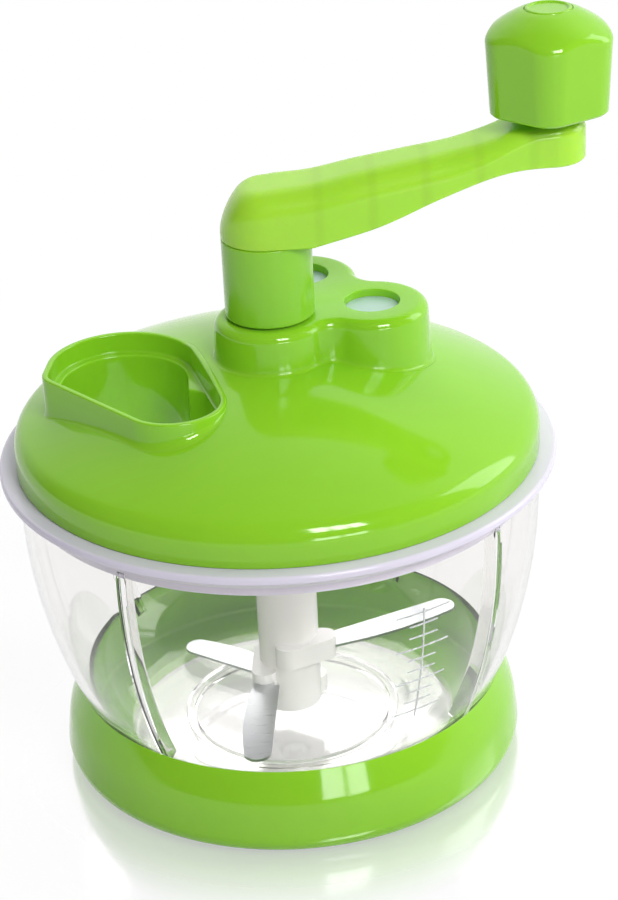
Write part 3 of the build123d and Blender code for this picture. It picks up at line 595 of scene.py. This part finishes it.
def bowl_shell():
    """Clear shell as one closed skin; the inner skin stands in by the rib's depth at each rib.

    A rib's flanks fall off between 0.9 and 1.9 mm from its middle, and it fades out over 2 mm at
    foot and head. The profile runs from the axis under the floor, out over the foot ring, up the
    outside, over the lip, down the inside and over the pin's boss back to the axis.
    """
    ring_inner, ring_outer, ring_drop, edge = 35.5, 38.0, 3.0, 0.5
    boss_radius, boss_rise = 5.0, 3.0
    neck_step = 0.15
    rib_foot, rib_head, rib_depth, rib_fade = 27.0, 106.0, 4.5, 2.0
    rib_radius, rib_room = 83.0, 2.4
    flank, flank_height = np.array((0.9, 1.05, 1.35, 1.9)), (1.0, 0.9, 0.08, 0.0)
    outer = bowl_skin(0.0, -pi / 2)
    neck = outer[:, 1] < BASE_HEIGHT
    outer[neck, 0] = np.minimum(outer[neck, 0], NECK_RADIUS)
    step = np.argmax(~neck)
    ledge = ((NECK_RADIUS, BASE_HEIGHT), (outer[step, 0] - neck_step, BASE_HEIGHT))
    outer = np.concatenate((outer[:step], ledge, outer[step:]))
    inner = bowl_skin(BOWL_WALL, -pi / 2)[::-1]
    start = np.array(
        (
            (0.0, BOWL_BOTTOM),
            (ring_inner - edge, BOWL_BOTTOM),
            (ring_inner, BOWL_BOTTOM - edge),
            (ring_inner, BOWL_BOTTOM - ring_drop),
            (ring_outer, BOWL_BOTTOM - ring_drop),
            (ring_outer, BOWL_BOTTOM - edge),
            (ring_outer + 0.4, BOWL_BOTTOM),
        )
    )
    end = np.array(
        (
            (boss_radius + 1.0, BOWL_FLOOR),
            (boss_radius + 0.3, BOWL_FLOOR + 0.6),
            (boss_radius, BOWL_FLOOR + boss_rise - 0.4),
            (boss_radius - 0.4, BOWL_FLOOR + boss_rise),
            (0.0, BOWL_FLOOR + boss_rise),
        )
    )
    lip = np.array(((outer[-1, 0] - edge, BOWL_HEIGHT), (inner[0, 0] + edge, BOWL_HEIGHT)))
    outer[-1, 1] = BOWL_HEIGHT - edge
    inner[0, 1] = BOWL_HEIGHT - edge
    profile = np.concatenate((start, outer, lip, inner, end))
    on_inside = np.arange(len(profile)) >= len(start) + len(outer) + len(lip)

    def off_rib(angles):
        return np.abs((angles[:, None] - RIB_ANGLES[None] + pi) % (2 * pi) - pi).min(1) * rib_radius

    angles = np.linspace(0, 2 * pi, 240, endpoint=False)
    band = np.concatenate((-flank[::-1], (0.0,), flank)) / rib_radius
    rib_angles = (RIB_ANGLES[:, None] + band[None]).ravel() % (2 * pi)
    angles = np.sort(np.concatenate((angles[off_rib(angles) > rib_room], rib_angles)))
    across = np.interp(off_rib(angles), flank, flank_height)
    above_foot = np.clip((profile[:, 1] - rib_foot) / rib_fade, 0, 1)
    below_head = np.clip((rib_head - profile[:, 1]) / rib_fade, 0, 1)
    depth = rib_depth * across[:, None] * (above_foot * below_head * on_inside)[None]
    r = profile[:, 0][None] - depth
    z = profile[:, 1][None] + 0 * r
    return sheet(np.stack((r * np.cos(angles[:, None]), r * np.sin(angles[:, None]), z), 2), True, False)


piece("bowl_shell", [bowl_shell()], "bowl_body", clear_bowl, ("bowl",), sharp=30)


def graduations():
    """Raised hairlines of the measuring scale: each a four-sided bar bent along the outer skin.

    A bar runs from one (azimuth, height) to another at r = bowl(z) and stands 0.25 mm proud. Every
    third cross line is a long one.
    """
    azimuth, foot, head, pitch = -60.5, 47.0, 92.0, 4.5
    long_reach, short_reach = 6.5, 3.5
    half_width, root, proud, line_radius = 0.22, -0.3, 0.25, 85.0
    rows = 16
    bars = [((azimuth, foot), (azimuth, head), (1.0, 0.0))]
    for number, height in enumerate(np.arange(foot + 3, head - 1, pitch)):
        reach = short_reach if number % 3 else long_reach
        bars.append(((azimuth - reach, height), (azimuth + reach, height), (0.0, 1.0)))
    vertices, faces = [], []
    for number, ((a0, z0), (a1, z1), (wide, tall)) in enumerate(bars):
        share = np.linspace(0, 1, rows)[:, None]
        side = np.array((-half_width, half_width, half_width, -half_width))[None]
        rise = np.array((root, root, proud, proud))[None]
        z = z0 + (z1 - z0) * share + side * tall
        r = SIDE_CENTRE[0] + np.sqrt(SIDE_ARC**2 - (z - SIDE_CENTRE[1]) ** 2) + rise
        angle = np.radians(a0 + (a1 - a0) * share) + side * wide / line_radius
        points, quads = sheet(np.stack((r * np.cos(angle), r * np.sin(angle), z), 2), False, True)
        first, last = np.arange(4), np.arange(4) + 4 * (rows - 1)
        vertices.append(points)
        faces.append(np.array([*quads, first, last]) + 4 * rows * number)
    return np.concatenate(vertices), np.concatenate(faces).tolist()


moulded_scale = moulded_plastic("moulded_scale", "#F4F6F6", "#ECEFEF", 0.25, 0.0, (1.0, 1.0, 1.0), 0.35)
piece("bowl_graduations", [graduations()], "bowl_body", moulded_scale)

# ---------------------------------------------------------------- lid


def lid_dome_shell():
    """Dome with holes for chute and gear housing: two skins z = crown(r) 2.2 mm apart, then skirt.

    Both skins share one net of triangles over a hexagonal scatter of points 2.6 mm apart.
    """
    pitch, half_count, border_room = 2.6, 40, 1.1
    collar, collar_normals = hull_outline(CHUTE_ROUNDS)
    trefoil, trefoil_normals = trefoil_outline()
    edge_radius = SHOULDER_RADIUS - 0.01
    chute_hole = collar - collar_normals * CHUTE_WALL / 2
    housing_hole = trefoil - trefoil_normals * (LOBE_WALL - 0.2)
    loops = [circle(CENTRE, edge_radius, 360), chute_hole, housing_hole]
    count = np.arange(-half_count, half_count + 1)
    row, column = np.meshgrid(count, count, indexing="ij")
    scatter = np.stack(((column + row % 2 / 2) * pitch, row * pitch * sqrt(3) / 2), 2).reshape(-1, 2)
    gap = np.sqrt(((scatter[:, None] - np.concatenate(loops)[None]) ** 2).sum(2)).min(1)
    free = (gap > border_room) & (np.hypot(*scatter.T) < edge_radius)
    free &= ~inside(chute_hole, scatter) & ~inside(housing_hole, scatter)
    flat, triangles = flat_patch(loops, [scatter[free]])

    def on_dome(level, inset):
        return np.column_stack((level, dome_height(np.hypot(*level.T), inset)))

    skins = [(on_dome(flat, inset), triangles) for inset in (0.0, DOME_WALL)]
    walls = [
        sheet(np.stack([on_dome(hole, inset) for inset in (0.0, DOME_WALL)], 1))
        for hole in (chute_hole, housing_hole)
    ]

    def shoulder_path(inset):
        start = acos(np.clip((edge_radius - SHOULDER_RADIUS) / (SHOULDER - inset), -1, 1))
        lean = min(start, acos(SHOULDER_RADIUS / (DOME_ARC - SHOULDER)))
        crown_r = np.linspace(edge_radius, SHOULDER_RADIUS + (SHOULDER - inset) * cos(lean), 5)[:-1]
        turn = np.linspace(lean, 0, 14)
        path_r = np.concatenate((crown_r, SHOULDER_RADIUS + (SHOULDER - inset) * np.cos(turn)))
        turn_z = SHOULDER_HEIGHT + (SHOULDER - inset) * np.sin(turn)
        path_z = np.concatenate((dome_height(crown_r, inset), turn_z))
        return np.stack((path_r, path_z), 1)

    foot = np.array(
        (
            (DOME_RADIUS, FLANGE_TOP + 0.4),
            (DOME_RADIUS - 0.3, FLANGE_TOP + 0.05),
            (DOME_RADIUS - DOME_WALL + 0.3, FLANGE_TOP + 0.05),
            (DOME_RADIUS - DOME_WALL, FLANGE_TOP + 0.4),
        )
    )
    skirt = np.concatenate((shoulder_path(0.0), foot, shoulder_path(DOME_WALL)[::-1]))
    return [*skins, *walls, revolved(skirt, turns=360, closed=False)]


def gear_housing():
    """Three-lobed housing: a drafted wall with flared foot and rounded top, hollow from below.

    The wall is carried round the trefoil; three soft-edged bores pass through its roof.
    """
    roof, flare, soft, foot_drop, ceiling_lean = 9.0, 1.2, 0.4, 1.8, 1.1
    outline, normals = trefoil_outline()
    on_dome = dome_height(np.hypot(*outline.T))[:, None]
    ceiling = LOBE_TOP - roof
    turn = np.linspace(0, pi / 2, 6)[None]
    foot_z = on_dome + flare * (1 - np.cos(turn))
    foot_o = flare * (1 - np.sin(turn)) - (foot_z - LOBE_FOOT) * LOBE_DRAFT
    wall_z = on_dome + flare + (LOBE_TOP - LOBE_EDGE - on_dome - flare) * np.linspace(0, 1, 10)[None, 1:]
    wall_o = -(wall_z - LOBE_FOOT) * LOBE_DRAFT
    bend = np.linspace(0, pi / 2, 14)[None, 1:]
    edge_z = LOBE_TOP - LOBE_EDGE * (1 - np.sin(bend)) + 0 * on_dome
    edge_o = wall_o[:, -1:] - LOBE_EDGE * (1 - np.cos(bend))
    hollow_z = np.concatenate((0 * on_dome + ceiling, on_dome - foot_drop, on_dome - foot_drop), 1)
    hollow_o = np.concatenate(
        (0 * on_dome - LOBE_WALL - ceiling_lean, 0 * on_dome - LOBE_WALL, foot_o[:, :1]), 1
    )
    offsets = np.concatenate((hollow_o, foot_o, wall_o, edge_o), 1)
    heights = np.concatenate((hollow_z, foot_z, wall_z, edge_z), 1)
    wall = carried(outline, normals, offsets, heights)
    turn = np.linspace(0, pi / 2, 6)
    bore_profile = np.concatenate(
        (
            np.stack((BORE_RADIUS + soft * (1 - np.sin(turn)), LOBE_TOP - soft * (1 - np.cos(turn))), 1),
            ((BORE_RADIUS, ceiling),),
        )
    )
    bores = [revolved(bore_profile, axis, 96, False) for axis in LOBE_AXES]
    top = level_patch([wall[:, -1, :2]] + [circle(axis, BORE_RADIUS + soft) for axis in LOBE_AXES], LOBE_TOP)
    under = level_patch([wall[:, 0, :2]] + [circle(axis, BORE_RADIUS) for axis in LOBE_AXES], ceiling)
    return [sheet(wall), top, under, *bores]


def seen_from(middle, shapes, angles, width=0):
    """Outline of joined stretched shapes as seen from a middle point, its inward corners softened."""
    reach = np.max([reach_along(middle, hull_outline(rounds, 40, 60)[0], angles) for rounds in shapes], 0)
    shares = np.hanning(2 * width + 3)[1:-1]
    reach = sum(w * np.roll(reach, k - width) for k, w in enumerate(shares / shares.sum()))
    return middle + reach[:, None] * np.stack((np.cos(angles), np.sin(angles)), 1)


def outward(loop):
    """Outward normals of an anticlockwise loop."""
    along = np.roll(loop, -1, 0) - np.roll(loop, 1, 0)
    return np.stack((along[:, 1], -along[:, 0]), 1) / np.hypot(*along.T)[:, None]


def chute():
    """Collar, step and throat of the filling chute as one closed skin over a turn round its middle.

    The throat narrows from the wide outline with its bay to the plain one as it goes down. The foot
    flares most at the front, and share q of the way down is eased as q²(3 - 2q).
    """
    round_rim, shelf_soft, throat_soft, exit_soft = 0.6, 0.8, 0.7, 0.4
    shelf_under, bury_height = SHELF_TOP - 2, 130.0
    angles = np.linspace(0, 2 * pi, 360, endpoint=False)
    middle = np.array(CHUTE_MIDDLE)
    outer = seen_from(middle, (CHUTE_ROUNDS,), angles)
    wide = seen_from(middle, (THROAT_ROUNDS, THROAT_WIDE_BAY), angles, 3)
    narrow = seen_from(middle, (THROAT_ROUNDS, THROAT_BAY), angles, 3)
    on_dome = dome_height(np.hypot(*outer.T))
    rim = np.maximum(CHUTE_RIM, on_dome + 0.2)
    front = np.clip((outer[:, 0] + 62) / 40, 0, 1) * np.clip((-outer[:, 1] + 0) / 20, 0, 1)
    flare = np.minimum(0.7 + 2.6 * front, np.clip((rim - on_dome - 0.9) / 2, 0.05, 4))
    rows = []

    def ring(loop, offset, height):
        level = loop + outward(loop) * np.reshape(offset, (-1, 1))
        rows.append(np.column_stack((level, height + np.zeros(len(loop)))))

    ring(outer, flare, on_dome - 1.6)
    for a in np.linspace(0, pi / 2, 8):
        level = outer + outward(outer) * (flare * (1 - sin(a)))[:, None]
        ring(outer, flare * (1 - sin(a)), dome_height(np.hypot(*level.T)) + flare * (1 - cos(a)))
    for a in np.linspace(0, pi / 2, 6):
        ring(outer, -round_rim * (1 - cos(a)), rim - round_rim * (1 - sin(a)))
    for a in np.linspace(0, pi / 2, 6):
        ring(outer, -CHUTE_WALL + round_rim * (1 - sin(a)), rim - round_rim * (1 - cos(a)))
    for a in np.linspace(0, pi / 2, 5):
        ring(outer, -CHUTE_WALL - shelf_soft * (1 - cos(a)) * (a > 0), SHELF_TOP + shelf_soft * (1 - sin(a)))
    for a in np.linspace(0, pi / 2, 6):
        ring(wide, throat_soft * (1 - sin(a)), SHELF_TOP - throat_soft * (1 - cos(a)))
    for share in np.linspace(0.08, 1, 12):
        eased = share * share * (3 - 2 * share)
        ring(wide * (1 - eased) + narrow * eased, 0.0, SHELF_TOP - throat_soft - NARROWING * share)
    ring(narrow, 0.0, THROAT_EXIT + exit_soft)
    ring(narrow, exit_soft, THROAT_EXIT)
    ring(narrow, THROAT_WALL - exit_soft, THROAT_EXIT)
    ring(narrow, THROAT_WALL, THROAT_EXIT + exit_soft)
    ring(narrow, THROAT_WALL, SHELF_TOP - NARROWING - 1)
    for share in np.linspace(1, 0.08, 12):
        eased = share * share * (3 - 2 * share)
        ring(wide * (1 - eased) + narrow * eased, THROAT_WALL, shelf_under - (NARROWING - 2) * share)
    ring(outer, -CHUTE_WALL + 0.3, shelf_under)
    ring(outer, -CHUTE_WALL + 0.3, bury_height)
    ring(outer, -0.2, bury_height)
    return sheet(np.stack(rows, 1), True, True)


piece("dome_shell", lid_dome_shell(), "lid", lime_abs, ("lid_dome",))
piece("gear_housing", gear_housing(), "lid", lime_abs)
piece("filling_chute", [chute()], "lid", lime_abs)

# ---------------------------------------------------------------- crank

post_top = SEAM - 0.05
post_profile = rounded(
    (
        (0.0, POST_BOTTOM, 0),
        (POST_RADIUS, POST_BOTTOM, 0.9),
        (POST_RADIUS, post_top, 0.35),
        (0.0, post_top, 0),
    ),
    closed=False,
)
post_skin = revolved(post_profile, turns=160, closed=False)
piece("crank_post_shell", [post_skin], "crank", lime_crank, ("crank_post",))


def arm_shell():
    """Arm as one closed skin from the spine of its hollow down to the foot and up over the outside.

    The level outline is stretched round elbow and end; a point at share q of the way from the
    spine to the outline stands at z = top(x) - drop, where drop rounds off the last 4 to 8.5 mm.
    """
    outline, _ = hull_outline(((0.0, 0.0, POST_RADIUS), (CRANK_REACH, 0.0, ARM_END_RADIUS)), 48, 80)
    slope = (ARM_END_RADIUS - POST_RADIUS) / CRANK_REACH
    spine_x = np.clip(outline[:, 0] + slope * POST_RADIUS, 0, CRANK_REACH)
    spine = np.stack((spine_x, 0 * spine_x), 1)
    half = np.linalg.norm(outline - spine, axis=1)
    foot = np.where(outline[:, 0] < POST_RADIUS, SEAM, smooth_line(ARM_BOTTOM_LINE, outline[:, 0]))
    rounding = np.interp(outline[:, 0], (62.0, 88.0), (8.5, 4.0))
    rows = []

    def ring(depth, height, lower=0.0):
        q = np.clip(1 - depth / half, 0, 1)[:, None]
        level = spine + (outline - spine) * q
        top = smooth_line(ARM_TOP_LINE, level[:, 0]) - lower
        rows.append(np.concatenate((level, height(top)[:, None]), 1))

    rise = rounding - ARM_WALL
    inner_edge = ARM_WALL + rise
    for share in (1.0, 0.6, 0.25):
        ring(inner_edge + (half - inner_edge) * share, lambda top: top, ARM_WALL)
    for a in np.linspace(pi / 2, 0, 10):
        ring(ARM_WALL + rise * (1 - cos(a)), lambda top: top - rise * (1 - sin(a)), ARM_WALL)
    ring(ARM_WALL, lambda top: foot + 0.5)
    ring(ARM_WALL - 0.5, lambda top: foot)
    ring(0.5, lambda top: foot)
    ring(0.0, lambda top: foot + 0.5)
    for share in np.linspace(0.1, 1, 9):
        ring(0.0, lambda top: foot + 0.5 + (top - rounding - foot - 0.5) * share)
    for a in np.linspace(0, pi / 2, 15)[1:]:
        ring(rounding * (1 - cos(a)), lambda top: top - rounding * (1 - sin(a)))
    for share in (0.25, 0.6, 1.0):
        ring(rounding + (half - rounding) * share, lambda top: top)
    return sheet(np.stack(rows, 1), True, False)


def arm_rib(x):
    """Thin cross rib in the arm's hollow: a plate from the foot line up into the top wall.

    Its upper corners are cut off, as the arm's rounded shoulders need.
    """
    corner_width, corner_height, half_thick = 6, 6.5, 0.8
    half = np.interp(x, (0, CRANK_REACH), (POST_RADIUS, ARM_END_RADIUS)) - ARM_WALL / 2
    low = float(smooth_line(ARM_BOTTOM_LINE, np.array([x]))[0]) + 0.8
    high = float(smooth_line(ARM_TOP_LINE, np.array([x]))[0]) - ARM_WALL + 0.3
    y = np.array((-half, -half, -half + corner_width, half - corner_width, half, half))
    z = np.array((low, high - corner_height, high, high, high - corner_height, low))
    thick = np.array((-half_thick, half_thick))
    points = np.stack((x + thick[:, None] + 0 * y, y + 0 * thick[:, None], z + 0 * thick[:, None]), 2)
    vertices = points.reshape(-1, 3)
    sides = [[i, (i + 1) % 6, 6 + (i + 1) % 6, 6 + i] for i in range(6)]
    return vertices, sides + [list(range(6)), list(range(11, 5, -1))]


piece("crank_arm_shell", [arm_shell()], "crank", lime_arm, ("crank_arm",))
for number, rib_x in enumerate(RIB_SPACING * np.arange(1, 5)):
    piece(f"arm_rib_{number + 1}", [arm_rib(rib_x)], "crank", lime_crank)
axle_hole, nut_hole, boss_radius = 4.0, 5.9, 7.4
nut_seat, boss_foot, boss_top = 217.8, 213.8, 225.6
boss_profile = rounded(
    (
        (axle_hole, nut_seat, 0),
        (nut_hole, nut_seat, 0),
        (nut_hole, boss_foot, 0.4),
        (boss_radius, boss_foot, 0.4),
        (boss_radius, boss_top, 0),
        (axle_hole, boss_top, 0),
    )
)
piece("arm_end_boss", [revolved(boss_profile, KNOB_AXIS, 96)], "crank", lime_crank)

# ---------------------------------------------------------------- knob


def knob_shell():
    """Five-sided knob: outline stretched round five corner circles, drawn in downwards, crowned on top.

    A point at share q from the axis to the outline stands on the crown z(r); the wall leans out
    by 3 degrees as it rises. A pit in the crown takes the cap, and the hollow is open below.
    """
    corner_reach, corner_radius, first_corner = 10.8, 8.8, -95.0
    draft, edge, foot_soft = tan(radians(3)), 1.3, 0.7
    pit_radius, web_radius, axle_radius = CAP_RADIUS + 0.2, 7.4, 8.0
    pit_floor, web_top, web_foot, hollow_top = 250.0, 229.0, 228.5, 247.0
    wall_thick, foot_thick = 2.4, 1.8
    turns = np.radians(first_corner) + 2 * pi * np.arange(5) / 5
    corners = [(corner_reach * cos(a), corner_reach * sin(a), corner_radius) for a in turns]
    outline, normals = hull_outline(corners, 24, 12)
    crown_r = np.array((0.0, 7.6, 9.5, 12.5, 15.5, 18.5, 21.6, 24.0))
    crown_z = np.array((263.6, 263.6, 263.0, 261.5, 259.7, 257.4, 254.5, 251.8))

    crown_steps = np.linspace(0, 24, 97)
    crown_heights = smooth_line(np.stack((crown_r, crown_z), 1), crown_steps)

    def crown(level):
        return np.interp(np.linalg.norm(level, axis=1), crown_steps, crown_heights)

    rows = []

    def ring(offset, height):
        level = outline + normals * np.reshape(offset, (-1, 1))
        rows.append(np.concatenate((level, height[:, None]), 1))

    level_top = outline + normals * draft * (256 - KNOB_BOTTOM)
    rim = crown(level_top)
    ones = np.ones(len(outline))
    ring(-foot_soft * ones, KNOB_BOTTOM * ones)
    ring(0.0 * ones, (KNOB_BOTTOM + foot_soft) * ones)
    for share in np.linspace(0.05, 1, 12):
        height = KNOB_BOTTOM + foot_soft + (rim - edge - KNOB_BOTTOM - foot_soft) * share
        ring(draft * (height - KNOB_BOTTOM), height)
    wall_offset = draft * (rim - edge - KNOB_BOTTOM)
    for a in np.linspace(0, pi / 2, 8)[1:]:
        offset = wall_offset - edge * (1 - cos(a))
        level = outline + normals * offset[:, None]
        ring(offset, crown(level) - edge * (1 - sin(a)))
    last = outline + normals * (wall_offset - edge)[:, None]
    for q in np.linspace(1, 0, 16)[1:]:
        reach = np.linalg.norm(last, axis=1)[:, None]
        level = last * ((pit_radius + (reach - pit_radius) * q) / reach)
        rows.append(np.concatenate((level, crown(level)[:, None]), 1))
    round_axis = last / np.linalg.norm(last, axis=1)[:, None]
    for radius, z in (
        (pit_radius, pit_floor),
        (web_radius, web_top),
        (web_radius, web_foot),
        (axle_radius, web_foot),
        (axle_radius, hollow_top),
    ):
        rows.append(np.concatenate((round_axis * radius, z * ones[:, None]), 1))
    for z in (hollow_top, KNOB_BOTTOM + 0.5):
        ring((draft * (z - KNOB_BOTTOM) - wall_thick) * ones, z * ones)
    ring(-foot_thick * ones, KNOB_BOTTOM * ones)
    points = np.stack(rows, 1)
    points[..., 0] += CRANK_REACH
    return sheet(points, True, True)


piece("knob_shell", [knob_shell()], "knob", lime_abs, ("knob_body",))
cap_foot, cap_rim, cap_middle = 255.0, 263.9, 263.35
cap_profile = rounded(
    (
        (0.0, cap_foot, 0),
        (CAP_RADIUS, cap_foot, 0.3),
        (CAP_RADIUS, cap_rim, 0.7),
        (6.5, cap_rim, 0.5),
        (6.0, cap_middle, 0.4),
        (0.0, cap_middle, 0),
    ),
    closed=False,
)
cap_skin = revolved(cap_profile, KNOB_AXIS, 96, False)
piece("knob_cap_shell", [cap_skin], "knob", lime_abs, ("knob_cap",))

# ---------------------------------------------------------------- CAD nodes that keep their own meshes

node_finish = {
    # the white plastic's lilac tint is partly its own colour, partly a painted reflection
    "lid_plate": white_abs_tint_and_painted_reflection,
    "lid_seal": seal_silicone,
    "rotor_hub": white_hub,
    "thrust_washer": white_abs_tint_and_painted_reflection,
    "knob_washer": white_abs_tint_and_painted_reflection,
    # the gear colour holds painted shade and painted green bounce light
    "crank_gear": gear_acetal_painted_shade,
    "idler_gear_a": gear_acetal_painted_shade,
    "idler_gear_b": gear_acetal_painted_shade,
    "output_gear": gear_acetal_painted_shade,
}
for name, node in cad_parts.items():
    node.data.materials.clear()
    node.data.materials.append(node_finish.get(name, stainless))

# ---------------------------------------------------------------- floor, light and camera


def white_stage():
    """White acrylic sheet: a soft mirror over white that keeps the part's shadow.

    The mirror fades out 120 mm from the part's axis and the shadow 500 mm from it.
    """
    shadow_near, shadow_far = 200 * MM, 500 * MM
    mirror_near, mirror_far = 78 * MM, 120 * MM
    material, tree, output, place = new_material("white_acrylic_floor")
    ripple = add_node(tree, "ShaderNodeTexNoise", {"Vector": place, "Scale": 4.0, "Detail": 1.0})
    rough = add_node(
        tree, "ShaderNodeMapRange", {"Value": ripple.outputs["Fac"], "To Min": 0.10, "To Max": 0.16}
    )
    lit = add_node(tree, "ShaderNodeBsdfDiffuse", {"Color": srgb("#FFFFFF")})
    mirror = add_node(
        tree, "ShaderNodeBsdfAnisotropic", {"Color": srgb("#FFFFFF"), "Roughness": rough.outputs["Result"]}
    )
    glow = add_node(tree, "ShaderNodeEmission", {"Color": srgb("#FFFFFF"), "Strength": 1.0})
    away = add_node(tree, "ShaderNodeVectorMath", {0: place}, operation="LENGTH")
    shaded = add_node(
        tree,
        "ShaderNodeMapRange",
        {
            "Value": away.outputs["Value"],
            "From Min": shadow_near,
            "From Max": shadow_far,
            "To Min": 0.12,
            "To Max": 0.0,
        },
        interpolation_type="SMOOTHSTEP",
    )
    white = add_node(
        tree, "ShaderNodeMixShader", {0: shaded.outputs["Result"], 1: glow.outputs[0], 2: lit.outputs[0]}
    )
    fade = add_node(
        tree,
        "ShaderNodeMapRange",
        {
            "Value": away.outputs["Value"],
            "From Min": mirror_near,
            "From Max": mirror_far,
            "To Min": 0.44,
            "To Max": 0.02,
        },
        interpolation_type="SMOOTHSTEP",
    )
    sheen = add_node(
        tree, "ShaderNodeMixShader", {0: fade.outputs["Result"], 1: white.outputs[0], 2: mirror.outputs[0]}
    )
    rays = add_node(tree, "ShaderNodeLightPath")
    direct = add_node(
        tree,
        "ShaderNodeMath",
        {0: rays.outputs["Is Camera Ray"], 1: rays.outputs["Is Glossy Ray"]},
        operation="MAXIMUM",
    )
    seen = add_node(
        tree,
        "ShaderNodeMath",
        {0: direct.outputs[0], 1: rays.outputs["Is Transmission Ray"]},
        operation="MAXIMUM",
    )
    bounce = add_node(tree, "ShaderNodeBsdfDiffuse", {"Color": srgb("#E2E2E2")})
    both = add_node(
        tree, "ShaderNodeMixShader", {0: seen.outputs[0], 1: bounce.outputs[0], 2: sheen.outputs[0]}
    )
    tree.links.new(both.outputs[0], output.inputs["Surface"])
    return material


def stage_floor():
    """Level square far wider than the view."""
    side = 4.0
    mesh = bpy.data.meshes.new("stage_floor")
    corners = [(-side, -side, 0), (side, -side, 0), (side, side, 0), (-side, side, 0)]
    mesh.from_pydata(corners, [], [(0, 1, 2, 3)])
    mesh.materials.append(white_stage())
    floor = bpy.data.objects.new("stage_floor", mesh)
    bpy.context.scene.collection.objects.link(floor)


def white_world():
    """White studio: camera and glass see white, gloss sees white behind and a dim room in front."""
    world = bpy.data.worlds.new("white_surroundings")
    bpy.context.scene.world = world
    world.use_nodes = True
    tree = world.node_tree
    tree.nodes.clear()
    output = add_node(tree, "ShaderNodeOutputWorld")
    heading = add_node(tree, "ShaderNodeTexCoord").outputs["Generated"]
    axes = add_node(tree, "ShaderNodeSeparateXYZ", {"Vector": heading})
    right = add_node(tree, "ShaderNodeMath", {0: axes.outputs["X"], 1: 0.35}, operation="MULTIPLY")
    behind = add_node(tree, "ShaderNodeMath", {0: axes.outputs["Y"], 1: right.outputs[0]}, operation="ADD")
    rays = add_node(tree, "ShaderNodeLightPath")
    straight = add_node(
        tree,
        "ShaderNodeMath",
        {0: rays.outputs["Is Camera Ray"], 1: rays.outputs["Is Transmission Ray"]},
        operation="MAXIMUM",
    )
    room = add_node(
        tree,
        "ShaderNodeMapRange",
        {"Value": behind.outputs[0], "From Min": 0.05, "From Max": 0.6, "To Min": 0.14, "To Max": 1.0},
    )
    glossy = add_node(
        tree, "ShaderNodeBackground", {"Color": srgb("#FFFFFF"), "Strength": room.outputs["Result"]}
    )
    fill = add_node(
        tree,
        "ShaderNodeMapRange",
        {"Value": behind.outputs[0], "From Min": -0.6, "From Max": 0.8, "To Min": 0.28, "To Max": 0.74},
    )
    light = add_node(
        tree, "ShaderNodeBackground", {"Color": srgb("#F6F7FA"), "Strength": fill.outputs["Result"]}
    )
    show = add_node(tree, "ShaderNodeBackground", {"Color": srgb("#FFFFFF"), "Strength": 1.0})
    first = add_node(
        tree,
        "ShaderNodeMixShader",
        {0: rays.outputs["Is Glossy Ray"], 1: light.outputs[0], 2: glossy.outputs[0]},
    )
    both = add_node(
        tree, "ShaderNodeMixShader", {0: straight.outputs[0], 1: first.outputs[0], 2: show.outputs[0]}
    )
    tree.links.new(both.outputs[0], output.inputs["Surface"])


def softbox(name, place, target, width, height, power, diffuse=True, gloss=True):
    """Area lamp that faces a target, sizes in metres and power in watts."""
    lamp = bpy.data.lights.new(name, "AREA")
    lamp.shape = "RECTANGLE"
    lamp.size, lamp.size_y = width, height
    lamp.energy = power
    holder = bpy.data.objects.new(name, lamp)
    bpy.context.scene.collection.objects.link(holder)
    holder.visible_diffuse, holder.visible_glossy = diffuse, gloss
    aim = Vector(target) - Vector(place)
    holder.matrix_world = Matrix.Translation(place) @ aim.to_track_quat("-Z", "Y").to_matrix().to_4x4()


def camera():
    """Long lens in front and above, panned, tilted and rolled as the photograph was framed."""
    distance, elevation = 0.896, radians(27.2)
    roll, pan, tilt = radians(3.27), radians(0.68), radians(0.68)
    focal_pixels, frame_height = 2600.0, 900.0
    forward = Vector((0, cos(elevation), -sin(elevation)))
    right = Vector((1, 0, 0))
    up = right.cross(forward)
    turn = Matrix.Rotation(-pan, 3, up)
    forward, right = turn @ forward, turn @ right
    turn = Matrix.Rotation(tilt, 3, right)
    forward, up = turn @ forward, turn @ up
    turn = Matrix.Rotation(roll, 3, forward)
    right, up = turn @ right, turn @ up
    lens = bpy.data.cameras.new("view")
    lens.sensor_width = 36.0
    lens.lens = focal_pixels / frame_height * lens.sensor_width
    lens.clip_end = 20.0
    holder = bpy.data.objects.new("view", lens)
    bpy.context.scene.collection.objects.link(holder)
    place = Vector((0, -distance * cos(elevation), 0.1 + distance * sin(elevation)))
    turned = Matrix((right, up, -forward)).transposed().to_4x4()
    holder.matrix_world = Matrix.Translation(place) @ turned
    bpy.context.scene.camera = holder


stage_floor()
white_world()
for pane in (-1, 0, 1):
    place = (0.38 + 0.14 * pane, -0.80, 0.86)
    softbox(f"window_pane_{pane + 2}", place, (0, 0, 0.1), 0.11, 0.36, 2.5)
for pane in (-1, 1):
    place = (0.42 + 0.12 * pane, -1.0, 0.17)
    softbox(f"low_window_pane_{pane + 2}", place, (0, -0.08, 0.02), 0.19, 0.17, 0.9, diffuse=False)
softbox("right_softbox", (0.95, 0.15, 0.55), (0, 0, 0.12), 0.5, 0.8, 4.0)
softbox("back_softbox", (0.1, 0.9, 0.75), (0, 0, 0.15), 0.9, 0.6, 5.4, gloss=False)
camera()
bpy.context.scene.view_settings.view_transform = "Standard"
